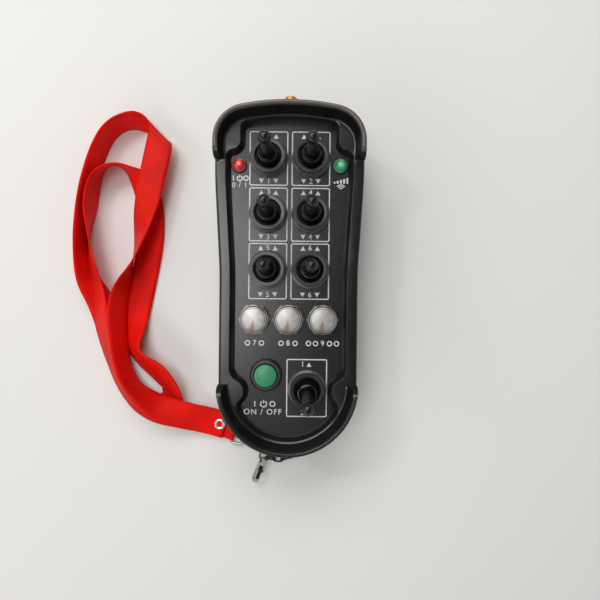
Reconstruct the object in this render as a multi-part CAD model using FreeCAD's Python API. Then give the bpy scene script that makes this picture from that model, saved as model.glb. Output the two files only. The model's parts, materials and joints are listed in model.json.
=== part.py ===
"""Handheld radio remote control with toggles, push buttons and a ribbon lanyard.

Millimetres. +X is to the right of the face, +Y towards the head end with the
antenna socket, +Z out of the face. The back lies on z = 0.
"""
import FreeCAD, Part
import math
import os

V = FreeCAD.Vector
UP = V(0, 0, 1)

# Plan outline of the case
HEAD_END = 85.4
HEAD_HALF = 36.85
HEAD_ARC_R = 115.0
HEAD_CORNER_R = 17.0
WAIST_HALF = 34.1
TAIL_Y = WAIST_HALF - HEAD_END
TAPER_TOP_Y = 56.0
TAPER_FOOT_Y = -2.0
TAPER_BLEND_R = 200.0

# The origin is under the middle of case and antenna socket together
SOCKET_REACH = 8.8
FRAME_SHIFT = V(0, -SOCKET_REACH / 2, 0)

# Heights
BACK_EDGE_R = 7.0
PARTING_Z = 22.0
PANEL_TOP = 35.6
PANEL_THICK = 2.5
PANEL_UNDER = PANEL_TOP - PANEL_THICK
FILM_THICK = 0.4
FACE_Z = PANEL_TOP + FILM_THICK
RAIL_Z = 40.0
CREST_Z = 48.0

# Mouldings
WALL = 3.0
FLOOR = 2.6
RAIL_EDGE_R = 1.4
RECESS_INSET = 5.45
RECESS_SLOPE = 1.7
RECESS_CORNER_R = 3.8
RECESS_TAIL_R = 5.0
HEAD_BLEND_R = 4.0
TAIL_BLEND_R = 6.2
GUARD_CREST = 2.4
GUARD_FOOT = 5.3
GUARD_LEAN = math.radians(16.7)
GUARD_ROOT_Z = 37.0
HEAD_GUARD_START = 58.6
TAIL_GUARD_START = -51.9
GUARD_RAMP = 6.0

# Screw bosses: place and radius of the bulge in the face
HEAD_BOSS = (28.5, 68.0, 4.3)
TAIL_BOSS = (27.5, -55.5, 6.0)
BOSS_R = 4.0
PILOT_R = 1.5

# Controls
TOGGLE_X = 10.6
TOGGLE_ROWS = (60.5, 32.7, 4.9)
MODE_AT = (9.7, -54.5)
PUSH_Y = -20.0
PUSH_PITCH = 17.0
POWER_AT = (-10.9, -47.7)
LED_AT = (25.3, 56.7)
BUSH_R = 5.9
PANEL_HOLE_R = 6.1
PIVOT_Z = 38.0
TOGGLE_THROW = 13.0
MODE_THROW = 7.0
BALL_Z = 65.3
BALL_R = 3.1
LEVER_R = 1.55
LEVER_TOP = 63.9
PIVOT_BALL_R = 2.6
PIVOT_PIN_R = 0.8
PIVOT_PIN_HALF = 2.75
BEZEL_NUT_TOP = 37.3
BEZEL_NUT_FLATS = 14.0
LAMP_HOLE_R = 3.0

# Board and cells
BOARD_Z = 19.8
BOARD_THICK = 1.6
BOARD_TOP = BOARD_Z + BOARD_THICK
BAY_MID_Y = -6.0
BAY_HALF_X = 15.6
BAY_HALF_Y = 29.5
BAY_CEILING = 17.8
BAY_WALL = 1.5
DOOR_HALF_X = 19.4
DOOR_HALF_Y = 36.0
DOOR_THICK = 2.2
DOOR_SEAT = 3.0
DOOR_SCREW_Y = 32.9
CELL_R = 7.15
CELL_LENGTH = 49.2
CELL_X = 7.5
CELL_Z = 9.6

# Antenna socket
SOCKET_Z = 28.0
SOCKET_R = 3.175
SHANK_R = 2.6

# Lanyard eye moulded on the tail end
EYE_ANGLE = math.radians(242)
EYE_REACH = 38.25
EYE_HOLE_AT = 36.0
EYE_HOLE_R = 1.6
EYE_LOW = 2.9
EYE_HIGH = 5.1

# Ribbon lanyard, from eyelet to eyelet: x, y and height of its middle line, then
# compass heading and rise of the direction across it, in degrees
RIBBON_WIDTH = 15.0
RIBBON_THICK = 0.9
RIBBON_ROUTE = [
    (-36.0, -82.4, 3.2, -105.5, 0), (-47.0, -79.3, 3.2, -105.5, 0), (-58.0, -76.3, 6.8, -105, 3),
    (-66.0, -73.6, 8.6, -106, 14), (-74.0, -70.2, 9.8, -112, 40), (-80.0, -65.4, 10.9, -122, 64),
    (-85.6, -60.3, 11.5, -137, 74), (-90.2, -53.0, 11.5, -150, 76), (-93.2, -44.1, 10.9, -162, 76),
    (-95.2, -34.0, 9.8, -172, 72), (-96.5, -23.0, 8.9, -178, 69), (-96.2, -13.0, 8.6, 178, 68),
    (-94.5, -5.0, 8.7, 174, 75), (-92.3, 1.0, 8.7, 170, 86), (-90.2, 6.0, 8.5, -10, 80),
    (-88.2, 11.5, 8.2, -10, 70), (-86.0, 19.0, 8.0, -10, 60), (-84.0, 28.0, 8.1, -8, 43),
    (-82.3, 37.0, 8.6, -5, 25), (-80.0, 45.5, 9.4, -2, 10), (-78.0, 54.0, 10.4, 0, 0),
    (-76.0, 62.5, 10.8, 0, 0), (-74.5, 71.0, 10.2, -4, 0), (-73.8, 77.6, 8.6, -20, 0),
    (-74.3, 83.2, 5.8, -40, -3), (-78.3, 87.2, 3.8, -52, -14), (-84.0, 89.4, 6.4, -66, -52),
    (-90.0, 89.9, 7.6, -78, -75), (-97.0, 87.9, 7.8, -72, -81), (-102.6, 83.4, 7.8, -56, -82),
    (-106.7, 76.4, 7.8, -40, -81), (-109.8, 68.6, 7.7, -28, -80), (-112.1, 61.0, 7.7, -18, -80),
    (-114.3, 53.0, 7.7, -12, -81), (-116.0, 44.0, 7.7, -8, -82), (-117.3, 34.0, 7.7, -3, -84),
    (-118.0, 24.0, 7.7, 4, -85), (-117.6, 15.0, 7.7, 10, -84), (-116.0, 5.5, 7.7, 15, -76),
    (-112.5, -3.0, 6.1, 15, -48), (-107.8, -13.0, 2.8, 15, -14), (-104.6, -25.0, 1.2, 18, 4),
    (-102.0, -36.7, 4.0, 22, 27), (-98.9, -45.8, 6.1, 30, 47), (-95.2, -55.8, 6.4, 38, 51),
    (-89.8, -64.0, 6.0, 50, 47), (-82.7, -69.9, 4.2, 62, 28), (-74.8, -72.2, 1.8, 82, 6),
    (-69.4, -70.8, 1.0, 115, 0), (-66.8, -66.6, 1.5, 150, -6), (-66.8, -61.8, 5.0, 180, -36),
    (-68.7, -57.4, 6.8, -145, -42), (-72.4, -53.0, 7.4, -130, -38), (-77.2, -49.0, 7.5, -130, -42),
    (-82.5, -45.5, 7.5, -135, -50), (-86.5, -41.5, 7.0, -146, -52), (-88.6, -36.5, 5.6, -160, -42),
    (-89.4, -30.0, 3.4, -174, -22), (-88.7, -21.0, 1.4, 175, -5), (-87.0, -12.0, 0.9, 170, 0),
    (-85.0, -2.0, 0.9, 168, 0), (-82.5, 11.0, 0.9, 170, 0), (-81.0, 21.0, 0.9, 175, 0),
    (-80.3, 31.0, 0.9, 180, 0), (-80.8, 40.0, 0.9, -172, 0), (-82.0, 47.0, 1.2, -164, -4),
    (-84.0, 53.5, 3.3, -152, -20), (-87.2, 59.0, 5.5, -160, -40), (-91.8, 63.0, 6.9, 168, -58),
    (-97.8, 65.4, 7.5, 156, -66), (-104.5, 64.3, 7.8, 148, -72), (-109.0, 59.5, 7.8, 120, -82),
    (-111.2, 53.0, 7.8, 0, -87), (-112.3, 46.0, 7.8, 0, -85), (-113.0, 38.5, 7.8, 0, -89),
    (-113.4, 31.0, 7.8, 180, -77), (-113.4, 24.0, 7.8, 176, -68), (-113.0, 17.0, 7.8, 174, -60),
    (-112.0, 10.0, 7.8, 174, -54), (-110.3, 2.5, 7.7, 175, -46), (-108.5, -5.5, 7.4, 177, -39),
    (-107.4, -13.5, 7.2, 179, -37), (-105.8, -26.0, 7.2, -174, -40), (-102.8, -37.2, 7.4, -166, -45),
    (-99.9, -46.2, 7.6, -160, -50), (-96.1, -56.5, 7.8, -152, -52), (-90.6, -65.0, 7.5, -138, -48),
    (-84.2, -70.8, 6.0, -124, -34), (-74.6, -74.4, 4.4, -112, -10), (-65.0, -76.0, 4.0, -107, 0),
    (-56.0, -77.8, 2.3, -105, 0), (-47.0, -80.0, 0.9, -105, 0), (-36.0, -82.6, 0.9, -105, 0)]

# Lanyard metalwork
EYELET_AT = (-39.3, -81.5)
EYELET_R = 3.1
EYELET_SHANK_R = 2.1
EYELET_BORE_R = 1.5
RIBBON_WAY = V(0.963, -0.268, 0)
RING_FROM_EYELET = 8.4
RING_HALF = 8.6
RING_BEND_R = 1.6
RING_LEG = 0.6
RING_WIRE_R = 0.9
RING_Z = 2.03
RING_TILT = 9.0
LINK_WIRE_R = 0.45
LINK_INNER = 4.7
LINK_INNER_HALF = 1.05
LINK_PITCH = 4.4
CHAIN_START = V(-12.5, -100.9, 1.7)
CHAIN_HEADINGS = (-10, -2, 18, 46, 80, 116, 156, 188, 189, 183, 181)
CHAIN_CLIMBS = (0, 0, 0, 0, 0, 0, 0, 0, 0, 22, 7)
SMALL_RING_R = 2.6
EYE_RING_ANGLE = 20.0
CHAIN_RING_ANGLE = -6.0
SMALL_RING_OUT = 1.0
JUMP_RING_AT = V(-14.0, -100.2, 1.68)
JUMP_RING_TILT = 25.0
CLASP_AT = V(-14.25, -100.65, 2.4)
CLASP_WAY = V(-0.36, -0.93, 0.16).normalize()
CLASP_ROLL = math.radians(62)
CLASP_THICK = 1.7
CLASP_EYE_R = 1.9
CLASP_BELLY_AT = 11.8
CLASP_BELLY_R = 2.7
GATE_PIVOT = (5.6, 1.4)


def save(name, *solids):
    """Write the solids of one piece to its own file, in the origin's frame."""
    shape = solids[0] if len(solids) == 1 else Part.makeCompound(list(solids))
    shape = shape.copy()
    shape.translate(FRAME_SHIFT)
    shape.exportStep("parts/" + name + ".step")


def run(start, steps, place):
    """Edges from start through steps; a pair of points is an arc through its first."""
    edges = []
    here = start
    for step in steps:
        if isinstance(step[0], tuple):
            middle, end = step
            edges.append(Part.Arc(place(here), place(middle), place(end)).toShape())
        else:
            end = step
            edges.append(Part.LineSegment(place(here), place(end)).toShape())
        here = end
    return edges


def upright(point):
    """A profile point (radius, height) in the XZ plane."""
    return V(point[0], 0, point[1])


def turned(start, *steps, at=(0, 0)):
    """Solid of revolution about a vertical axis, from a closed (radius, height) profile."""
    face = Part.Face(Part.Wire(run(start, steps + (start,), upright)))
    solid = face.revolve(V(0, 0, 0), UP, 360)
    solid.translate(V(at[0], at[1], 0))
    return solid


def dome(rim_r, rim_z, apex_z):
    """Arc of a profile from a rim up to the axis, as part of a sphere centred on it."""
    rise = apex_z - rim_z
    ball_r = (rim_r ** 2 + rise ** 2) / (2 * rise)
    half = math.asin(min(1, rim_r / ball_r)) / 2
    middle = (ball_r * math.sin(half), apex_z - ball_r * (1 - math.cos(half)))
    return (middle, (0, apex_z))


def disc(radius, low, high, at=(0, 0)):
    return Part.makeCylinder(radius, high - low, V(at[0], at[1], low))


def block(half_x, half_y, low, high, at=(0, 0)):
    corner = V(at[0] - half_x, at[1] - half_y, low)
    return Part.makeBox(2 * half_x, 2 * half_y, high - low, corner)


def hexagon(flats, low, high, at=(0, 0)):
    corner = flats / math.sqrt(3)
    ring = [V(at[0] + corner * math.cos(math.radians(a)),
              at[1] + corner * math.sin(math.radians(a)), low) for a in range(0, 361, 60)]
    return Part.Face(Part.makePolygon(ring)).extrude(V(0, 0, high - low))


def edges_at(shape, z):
    """Edges that lie wholly at one height."""
    return [e for e in shape.Edges
            if abs(e.BoundBox.ZMin - z) < 1e-4 and abs(e.BoundBox.ZMax - z) < 1e-4]


def both_sides(x, y):
    return ((x, y), (-x, y))


# Plan outline: all its arcs keep their centres when it is moved in

HEAD_CENTRE_Y = HEAD_END - HEAD_ARC_R
CORNER_X = HEAD_HALF - HEAD_CORNER_R
CORNER_Y = HEAD_CENTRE_Y + math.sqrt((HEAD_ARC_R - HEAD_CORNER_R) ** 2 - CORNER_X ** 2)
CORNER_ANGLE = math.atan2(CORNER_Y - HEAD_CENTRE_Y, CORNER_X)


def taper_angle():
    """Lean of the line that touches both blend arcs of the tapered side."""
    across = 2 * TAPER_BLEND_R - (HEAD_HALF - WAIST_HALF)
    along = TAPER_TOP_Y - TAPER_FOOT_Y
    return math.atan2(along, across) - math.acos(2 * TAPER_BLEND_R / math.hypot(across, along))


def on_circle(centre, radius, angle):
    return (centre[0] + radius * math.cos(angle), centre[1] + radius * math.sin(angle))


def outline(inset, z):
    """Closed wire of the case's plan, moved in by inset."""
    lean = taper_angle()
    head_arc = HEAD_ARC_R - inset
    side = []
    corner = (CORNER_X, CORNER_Y)
    corner_r = HEAD_CORNER_R - inset
    side.append((on_circle(corner, corner_r, CORNER_ANGLE / 2), (HEAD_HALF - inset, CORNER_Y)))
    side.append((HEAD_HALF - inset, TAPER_TOP_Y))
    convex = (HEAD_HALF - TAPER_BLEND_R, TAPER_TOP_Y)
    convex_r = TAPER_BLEND_R - inset
    side.append((on_circle(convex, convex_r, -lean / 2), on_circle(convex, convex_r, -lean)))
    hollow = (WAIST_HALF + TAPER_BLEND_R, TAPER_FOOT_Y)
    hollow_r = TAPER_BLEND_R + inset
    side.append(on_circle(hollow, hollow_r, math.pi - lean))
    side.append((on_circle(hollow, hollow_r, math.pi - lean / 2), (WAIST_HALF - inset, TAPER_FOOT_Y)))
    side.append((WAIST_HALF - inset, TAIL_Y))

    def at_height(point):
        return V(point[0], point[1], z)

    def at_height_left(point):
        return V(-point[0], point[1], z)

    start = on_circle((0, HEAD_CENTRE_Y), head_arc, CORNER_ANGLE)
    right = run(start, side, at_height)
    left = run(start, side, at_height_left)
    tail = run((WAIST_HALF - inset, TAIL_Y),
               [((0, TAIL_Y - WAIST_HALF + inset), (inset - WAIST_HALF, TAIL_Y))], at_height)
    head = run((-start[0], start[1]), [((0, HEAD_END - inset), start)], at_height)
    return Part.Wire(right + tail + left[::-1] + head)


def prism(inset, low, high):
    return Part.Face(outline(inset, low)).extrude(V(0, 0, high - low))


# Raised guards round the two ends

def guard_section(place):
    """Wall with a round crest, a leaning inner side and a hollow fillet at its foot."""
    crest_r = GUARD_CREST / 2
    lean_x = math.sin(GUARD_LEAN)
    lean_z = math.cos(GUARD_LEAN)
    shoulder_z = CREST_Z - crest_r
    reach = (GUARD_FOOT - GUARD_CREST) * lean_z - (shoulder_z - RAIL_Z) * lean_x
    fillet_r = reach / (1 - lean_x)
    centre = (GUARD_FOOT, RAIL_Z + fillet_r)
    slope_end = (centre[0] - fillet_r * lean_z, centre[1] - fillet_r * lean_x)
    middle = on_circle(centre, fillet_r, (math.pi + GUARD_LEAN + 1.5 * math.pi) / 2)
    steps = [(0, shoulder_z), ((crest_r, CREST_Z), (GUARD_CREST, shoulder_z)), slope_end,
             (middle, (GUARD_FOOT, RAIL_Z)), (GUARD_FOOT, GUARD_ROOT_Z), (0, GUARD_ROOT_Z)]
    return Part.Face(Part.Wire(run((0, GUARD_ROOT_Z), steps, place)))


def guard_arc(centre, radius, first, last):
    """The guard's section carried round one arc of the outline, between two angles."""
    toward = V(math.cos(first), math.sin(first), 0)
    hub = V(centre[0], centre[1], 0)
    face = guard_section(lambda p: hub + toward * (radius - p[0]) + V(0, 0, p[1]))
    return face.revolve(hub, UP, math.degrees(last - first))


def guard_ramp(start, way):
    """Space that a guard fills, seen from the side: its free end is rounded down."""
    def from_side(point):
        return V(-60, start + way * point[0], point[1])

    steps = [(0, RAIL_Z), ((0.28 * GUARD_RAMP, RAIL_Z + 0.7 * (CREST_Z - RAIL_Z)),
                           (GUARD_RAMP, CREST_Z + 0.3)),
             (60, CREST_Z + 0.3), (60, GUARD_ROOT_Z - 1), (0, GUARD_ROOT_Z - 1)]
    face = Part.Face(Part.Wire(run((0, GUARD_ROOT_Z - 1), steps, from_side)))
    return face.extrude(V(120, 0, 0))


def head_guard():
    corner_turn = CORNER_ANGLE
    right = guard_arc((CORNER_X, CORNER_Y), HEAD_CORNER_R, 0, corner_turn)
    left = guard_arc((-CORNER_X, CORNER_Y), HEAD_CORNER_R, math.pi - corner_turn, math.pi)
    top = guard_arc((0, HEAD_CENTRE_Y), HEAD_ARC_R, corner_turn, math.pi - corner_turn)
    legs = []
    for side in (1, -1):
        face = guard_section(lambda p: V(side * (HEAD_HALF - p[0]), TAPER_TOP_Y, p[1]))
        legs.append(face.extrude(V(0, CORNER_Y - TAPER_TOP_Y, 0)))
    return top.multiFuse([right, left] + legs).common(guard_ramp(HEAD_GUARD_START, 1))


def tail_guard():
    arc = guard_arc((0, TAIL_Y), WAIST_HALF, math.pi, 2 * math.pi)
    return arc.common(guard_ramp(TAIL_GUARD_START, -1))


# Recessed face with a bulge round each screw boss

RECESS_TOP_Y = HEAD_BOSS[1] + 2
RECESS_EDGE = ((-0.45, RAIL_Z + 0.1), (-0.15, RAIL_Z - 0.15), (0.1, RAIL_Z - 0.5), (0.3, RAIL_Z - 1.0))


def recess_wire(inset, z):
    """Outline of the recess at a depth where it has drawn in by inset."""
    shoulder = HEAD_BOSS[0] - HEAD_BOSS[2] - inset
    arc_r = HEAD_ARC_R - RECESS_INSET - inset
    field = prism(RECESS_INSET + inset, z, z + 1).common(block(50, 100, z, z + 1, (0, RECESS_TOP_Y - 100)))
    top = block(shoulder, 12, z, z + 1, (0, RECESS_TOP_Y + 11))
    top = top.common(disc(arc_r, z, z + 1, (0, HEAD_CENTRE_Y)))
    bulges = []
    for x, y, radius in (HEAD_BOSS, TAIL_BOSS):
        bulges += [disc(radius + inset, z - 1, z + 2, at) for at in both_sides(x, y)]
    for at in both_sides(shoulder + 15, HEAD_BOSS[1] + 15):
        bulges.append(block(15, 15, z - 1, z + 2, at))
    field = field.fuse(top).cut(bulges).removeSplitter()
    field = max(field.Solids, key=lambda solid: solid.Volume)
    for low, high, blend in ((HEAD_BOSS[1], HEAD_END, RECESS_CORNER_R), (0, HEAD_BOSS[1], HEAD_BLEND_R),
                             (TAIL_BOSS[1], 0, TAIL_BLEND_R), (-HEAD_END, TAIL_BOSS[1], RECESS_TAIL_R)):
        corners = [e for e in sharp_uprights(field) if low < e.CenterOfMass.y < high]
        field = field.makeFillet(blend - inset, corners)
    floor = min(field.Faces, key=lambda face: face.CenterOfMass.z)
    return floor.OuterWire


def sharp_uprights(solid):
    """Upright edges where two sides meet at an angle."""
    sharp = []
    for edge in solid.Edges:
        if edge.BoundBox.ZLength < 0.9:
            continue
        spot = edge.CenterOfMass
        normals = [f.normalAt(*f.Surface.parameter(spot)) for f in solid.ancestorsOfType(edge, Part.Face)]
        if normals[0].getAngle(normals[1]) > 0.3:
            sharp.append(edge)
    return sharp


def control_holes(low, high):
    """Round openings of the face for the bushes, barrels and lamps."""
    holes = [disc(PANEL_HOLE_R, low, high, at) for at in toggle_places() + push_places()]
    holes.append(disc(PANEL_HOLE_R, low, high, POWER_AT))
    holes += [disc(LAMP_HOLE_R, low, high, at) for at in both_sides(*LED_AT)]
    return holes


def toggle_places():
    places = [(x, y) for y in TOGGLE_ROWS for x in (-TOGGLE_X, TOGGLE_X)]
    return places + [MODE_AT]


def push_places():
    return [(column * PUSH_PITCH, PUSH_Y) for column in (-1, 0, 1)]


def boss_places():
    return both_sides(*HEAD_BOSS[:2]) + both_sides(*TAIL_BOSS[:2])


def front_shell():
    body = prism(0, PARTING_Z, RAIL_Z)
    body = body.makeFillet(RAIL_EDGE_R, edges_at(body, RAIL_Z))
    body = body.multiFuse([head_guard(), tail_guard()]).removeSplitter()
    sections = [recess_wire(inset, z) for inset, z in RECESS_EDGE]
    sections.append(recess_wire(RECESS_SLOPE, PANEL_TOP))
    recess = Part.makeLoft(sections, True, True)
    inside = prism(WALL, PARTING_Z, PANEL_UNDER)
    inside = inside.cut([disc(BOSS_R, PARTING_Z, PANEL_UNDER, at) for at in boss_places()])
    pilots = [disc(PILOT_R, PARTING_Z, PANEL_UNDER, at) for at in boss_places()]
    socket_hole = Part.makeCylinder(SHANK_R + 0.1, 12, V(0, HEAD_END - 8, SOCKET_Z), V(0, 1, 0))
    body = body.cut([recess, inside, socket_hole] + pilots)
    return body.cut(control_holes(PANEL_UNDER - 1, FACE_Z))


def face_overlay():
    film = Part.Face(recess_wire(RECESS_SLOPE + 0.4, PANEL_TOP)).extrude(V(0, 0, FILM_THICK))
    return film.cut(control_holes(PANEL_TOP - 1, FACE_Z + 1))


# Rear shell with the cell bay, its door and the lanyard eye

def eye_point(reach, z):
    x, y = on_circle((0, TAIL_Y), reach, EYE_ANGLE)
    return V(x, y, z)


def lanyard_eye():
    """Flat tab with an upright hole, rounded at its tip."""
    tip_r = EYE_REACH - EYE_HOLE_AT
    tip = eye_point(EYE_HOLE_AT, EYE_LOW)
    bar = Part.makeBox(12, 2 * tip_r + 3, EYE_HIGH - EYE_LOW, V(-12, -tip_r - 1.5, 0))
    bar.rotate(V(0, 0, 0), UP, math.degrees(EYE_ANGLE))
    bar.translate(tip)
    keep = Part.makeCylinder(EYE_HOLE_AT, 10, V(0, TAIL_Y, 0))
    tab = bar.common(keep).fuse(Part.makeCylinder(tip_r, EYE_HIGH - EYE_LOW, tip))
    return tab.cut(Part.makeCylinder(EYE_HOLE_R, 10, eye_point(EYE_HOLE_AT, 0)))


def door_screw_places():
    return [(0, BAY_MID_Y + side * DOOR_SCREW_Y) for side in (1, -1)]


def rear_shell():
    body = prism(0, 0, PARTING_Z)
    body = body.makeFillet(BACK_EDGE_R, edges_at(body, 0))
    inside = prism(WALL, FLOOR, PARTING_Z)
    inside = inside.makeFillet(BACK_EDGE_R - WALL + 0.6, edges_at(inside, FLOOR))
    bay_at = (0, BAY_MID_Y)
    keep = [disc(BOSS_R, 0, PARTING_Z, at) for at in boss_places()]
    keep.append(block(BAY_HALF_X + BAY_WALL, BAY_HALF_Y + BAY_WALL, 0, BOARD_Z, bay_at))
    keep.append(block(DOOR_HALF_X + 2, DOOR_HALF_Y + 2, 0, DOOR_SEAT + 1.8, bay_at))
    keep += [disc(3.2, 0, 9, at) for at in door_screw_places()]
    body = body.cut(inside.cut(keep))
    holes = [block(BAY_HALF_X, BAY_HALF_Y, -1, BAY_CEILING, bay_at)]
    holes.append(block(DOOR_HALF_X, DOOR_HALF_Y, -1, DOOR_SEAT, bay_at))
    holes += [disc(1.05, 0, 8, at) for at in door_screw_places()]
    for at in boss_places():
        holes.append(disc(1.7, -1, PARTING_Z + 1, at))
        holes.append(disc(3.2, -1, 8, at))
    groove = prism(0.9, PARTING_Z - 1, PARTING_Z + 1).cut(prism(2.1, PARTING_Z - 1, PARTING_Z + 1))
    body = body.cut(holes + [groove])
    return body.fuse(lanyard_eye().cut(prism(4, 0, PARTING_Z)))


def shell_seal():
    return prism(0.9, PARTING_Z - 1, PARTING_Z).cut(prism(2.1, PARTING_Z - 1, PARTING_Z))


def battery_door():
    gap = 0.2
    plate = block(DOOR_HALF_X - gap, DOOR_HALF_Y - gap, 0, DOOR_THICK, (0, BAY_MID_Y))
    upright_edges = [e for e in plate.Edges if e.BoundBox.ZLength > 1]
    plate = plate.makeFillet(1.5, upright_edges)
    ribs = [block(12, 0.9, -1, 0.5, (0, BAY_MID_Y + 3.2 * row - 20)) for row in range(5)]
    heads = [turned((0, -1), (2.5, -1), (2.5, 0.2), (1.4, 1.4), (1.4, 4), (0, 4), at=at)
             for at in door_screw_places()]
    return plate.cut(ribs + heads)


def door_seal():
    ring = block(DOOR_HALF_X - 1.5, BAY_HALF_Y + 1.6, DOOR_THICK, DOOR_SEAT, (0, BAY_MID_Y))
    return ring.cut(block(BAY_HALF_X, BAY_HALF_Y, 0, 5, (0, BAY_MID_Y)))


def door_screws():
    return [turned((0, 0.1), (2.35, 0.1), (1.0, 1.5), (1.0, 7.6), (0, 7.6), at=at)
            for at in door_screw_places()]


def case_screws():
    screws = []
    for at in boss_places():
        screw = turned((0, 5.6), (2.2, 5.6), (2.8, 6.4), (2.8, 8), (1.4, 8), (1.4, 30.5), (0, 31.5),
                       at=at)
        screws.append(screw.cut(hexagon(2.5, 5, 7, at)))
    return screws


# Board, radio and cells

def main_board():
    board = prism(WALL + 0.5, BOARD_Z, BOARD_TOP)
    return board.cut([disc(BOSS_R + 0.5, 0, PARTING_Z, at) for at in boss_places()])


def radio_module():
    at = (0, 75.2)
    can = block(8, 2.6, BOARD_TOP + 0.8, BOARD_TOP + 2.8, at)
    can = can.makeFillet(0.5, can.Edges)
    return block(9, 3.4, BOARD_TOP, BOARD_TOP + 0.8, at).fuse(can)


def along_y(start, *steps):
    """Solid of revolution about the socket's axis, from a (radius, y) profile."""
    face = Part.Face(Part.Wire(run(start, steps + (start,), lambda p: V(p[0], p[1], SOCKET_Z))))
    return face.revolve(V(0, 0, SOCKET_Z), V(0, 1, 0), 360)


SOCKET_TIP = HEAD_END + SOCKET_REACH
SOCKET_FOOT = HEAD_END - WALL - 2.2
NUT_BACK = HEAD_END + 0.6
NUT_FRONT = NUT_BACK + 2.0


def antenna_socket():
    """Coaxial socket: flange and shank in the wall, free thread in front of its nut."""
    tip = SOCKET_TIP
    return along_y((0, SOCKET_FOOT - 1.5), (1.6, SOCKET_FOOT - 1.5), (1.6, SOCKET_FOOT), (4.4, SOCKET_FOOT),
                   (4.4, HEAD_END - WALL - 0.2), (SHANK_R, HEAD_END - WALL - 0.2), (SHANK_R, NUT_FRONT),
                   (SOCKET_R, NUT_FRONT), (SOCKET_R, tip - 0.4), (SOCKET_R - 0.4, tip), (2.3, tip),
                   (2.3, tip - 2.4), (0.9, tip - 2.4), (0.9, tip - 0.8), (0.5, tip - 0.8), (0.5, tip - 4),
                   (0, tip - 4))


def antenna_nut():
    """Hexagon nut and the washer under it, on the outside of the head wall."""
    nut = hexagon(8, 0, NUT_FRONT - NUT_BACK - 0.05)
    nut = nut.fuse(disc(4.9, -0.5, 0))
    nut = nut.cut(disc(SHANK_R + 0.05, -1, 3))
    nut.rotate(V(0, 0, 0), V(1, 0, 0), -90)
    nut.translate(V(0, NUT_BACK, SOCKET_Z))
    return nut


def antenna_lead():
    """Thin lead from the back of the socket down to the radio."""
    top = V(0, SOCKET_FOOT - 1.5, SOCKET_Z)
    turn_r = 2.0
    bend = top + V(0, -turn_r - 0.9, 0)
    foot = V(0, bend.y, BOARD_TOP + 2.8)
    arc_mid = bend + V(0, turn_r * (1 - math.sin(math.pi / 4)), -turn_r * (1 - math.cos(math.pi / 4)))
    edges = [Part.LineSegment(top, bend + V(0, turn_r, 0)).toShape(),
             Part.Arc(bend + V(0, turn_r, 0), arc_mid, bend + V(0, 0, -turn_r)).toShape(),
             Part.LineSegment(bend + V(0, 0, -turn_r), foot).toShape()]
    ring = Part.Wire(Part.makeCircle(0.8, top, V(0, 1, 0)))
    return Part.Wire(edges).makePipeShell([ring], True, False)


def battery_cells():
    cells = []
    for side in (1, -1):
        cell = turned((0, 0), (CELL_R - 0.5, 0), (CELL_R, 0.5), (CELL_R, CELL_LENGTH - 0.5),
                      (CELL_R - 0.5, CELL_LENGTH), (2.7, CELL_LENGTH), (2.7, CELL_LENGTH + 1.2),
                      (0, CELL_LENGTH + 1.2))
        cell.rotate(V(0, 0, 0), V(1, 0, 0), -90 * side)
        cell.translate(V(side * CELL_X, BAY_MID_Y - side * (CELL_LENGTH + 1.2) / 2, CELL_Z))
        cells.append(cell)
    return cells


def battery_contacts():
    """Bowed leaf contacts between the cells and both ends of the bay."""
    leaves = []
    reach = BAY_HALF_Y - (CELL_LENGTH + 1.2) / 2 - 0.1
    for end in (1, -1):
        for side in (1, -1):
            def leaf(point):
                from_mid = BAY_HALF_Y - 0.05 - point[0]
                return V(side * CELL_X - 3, BAY_MID_Y + end * from_mid, CELL_Z + point[1])

            bow_in = Part.Arc(leaf((0.4, 5.5)), leaf((reach, 0)), leaf((0.4, -5.5))).toShape()
            back = run((0.4, -5.5), [(0.4, -6), (0, -6), (0, 6), (0.4, 6), (0.4, 5.5)], leaf)
            face = Part.Face(Part.Wire([bow_in] + back))
            leaves.append(face.extrude(V(6, 0, 0)))
    return leaves


# Toggle switches

def toggle_bodies():
    bodies = []
    for at in toggle_places():
        case = block(6.5, 9, BOARD_TOP, PANEL_UNDER - 2, at)
        case = case.makeFillet(0.8, [e for e in case.Edges if e.BoundBox.ZLength > 1])
        bush = turned((0, PANEL_UNDER - 2.5), (BUSH_R, PANEL_UNDER - 2.5), (BUSH_R, PIVOT_Z - 0.5),
                      (BUSH_R - 0.5, PIVOT_Z), (3.2, PIVOT_Z), (2.8, PIVOT_Z - 1), (2.8, PIVOT_Z - 3.2),
                      (0, PIVOT_Z - 3.2), at=at)
        bodies.append(case.fuse(bush))
    return bodies


def panel_nuts():
    """Hexagon nuts that hold the switches up against the inside of the face."""
    nuts = []
    for at in toggle_places() + push_places() + [POWER_AT]:
        nut = hexagon(14, PANEL_UNDER - 1.95, PANEL_UNDER, at)
        nuts.append(nut.cut(disc(BUSH_R + 0.05, 0, 50, at)))
    return nuts


def boot_base(at):
    """Fixed foot of a rubber boot: a ring screwed over the bush."""
    return turned((BUSH_R + 0.1, FACE_Z), (9.75, FACE_Z), (9.75, 39.3), ((9.5, 40.0), (8.6, 40.6)),
                  (6.9, 40.6), ((6.2, 40.3), (BUSH_R + 0.1, 39.6)), at=at)


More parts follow.
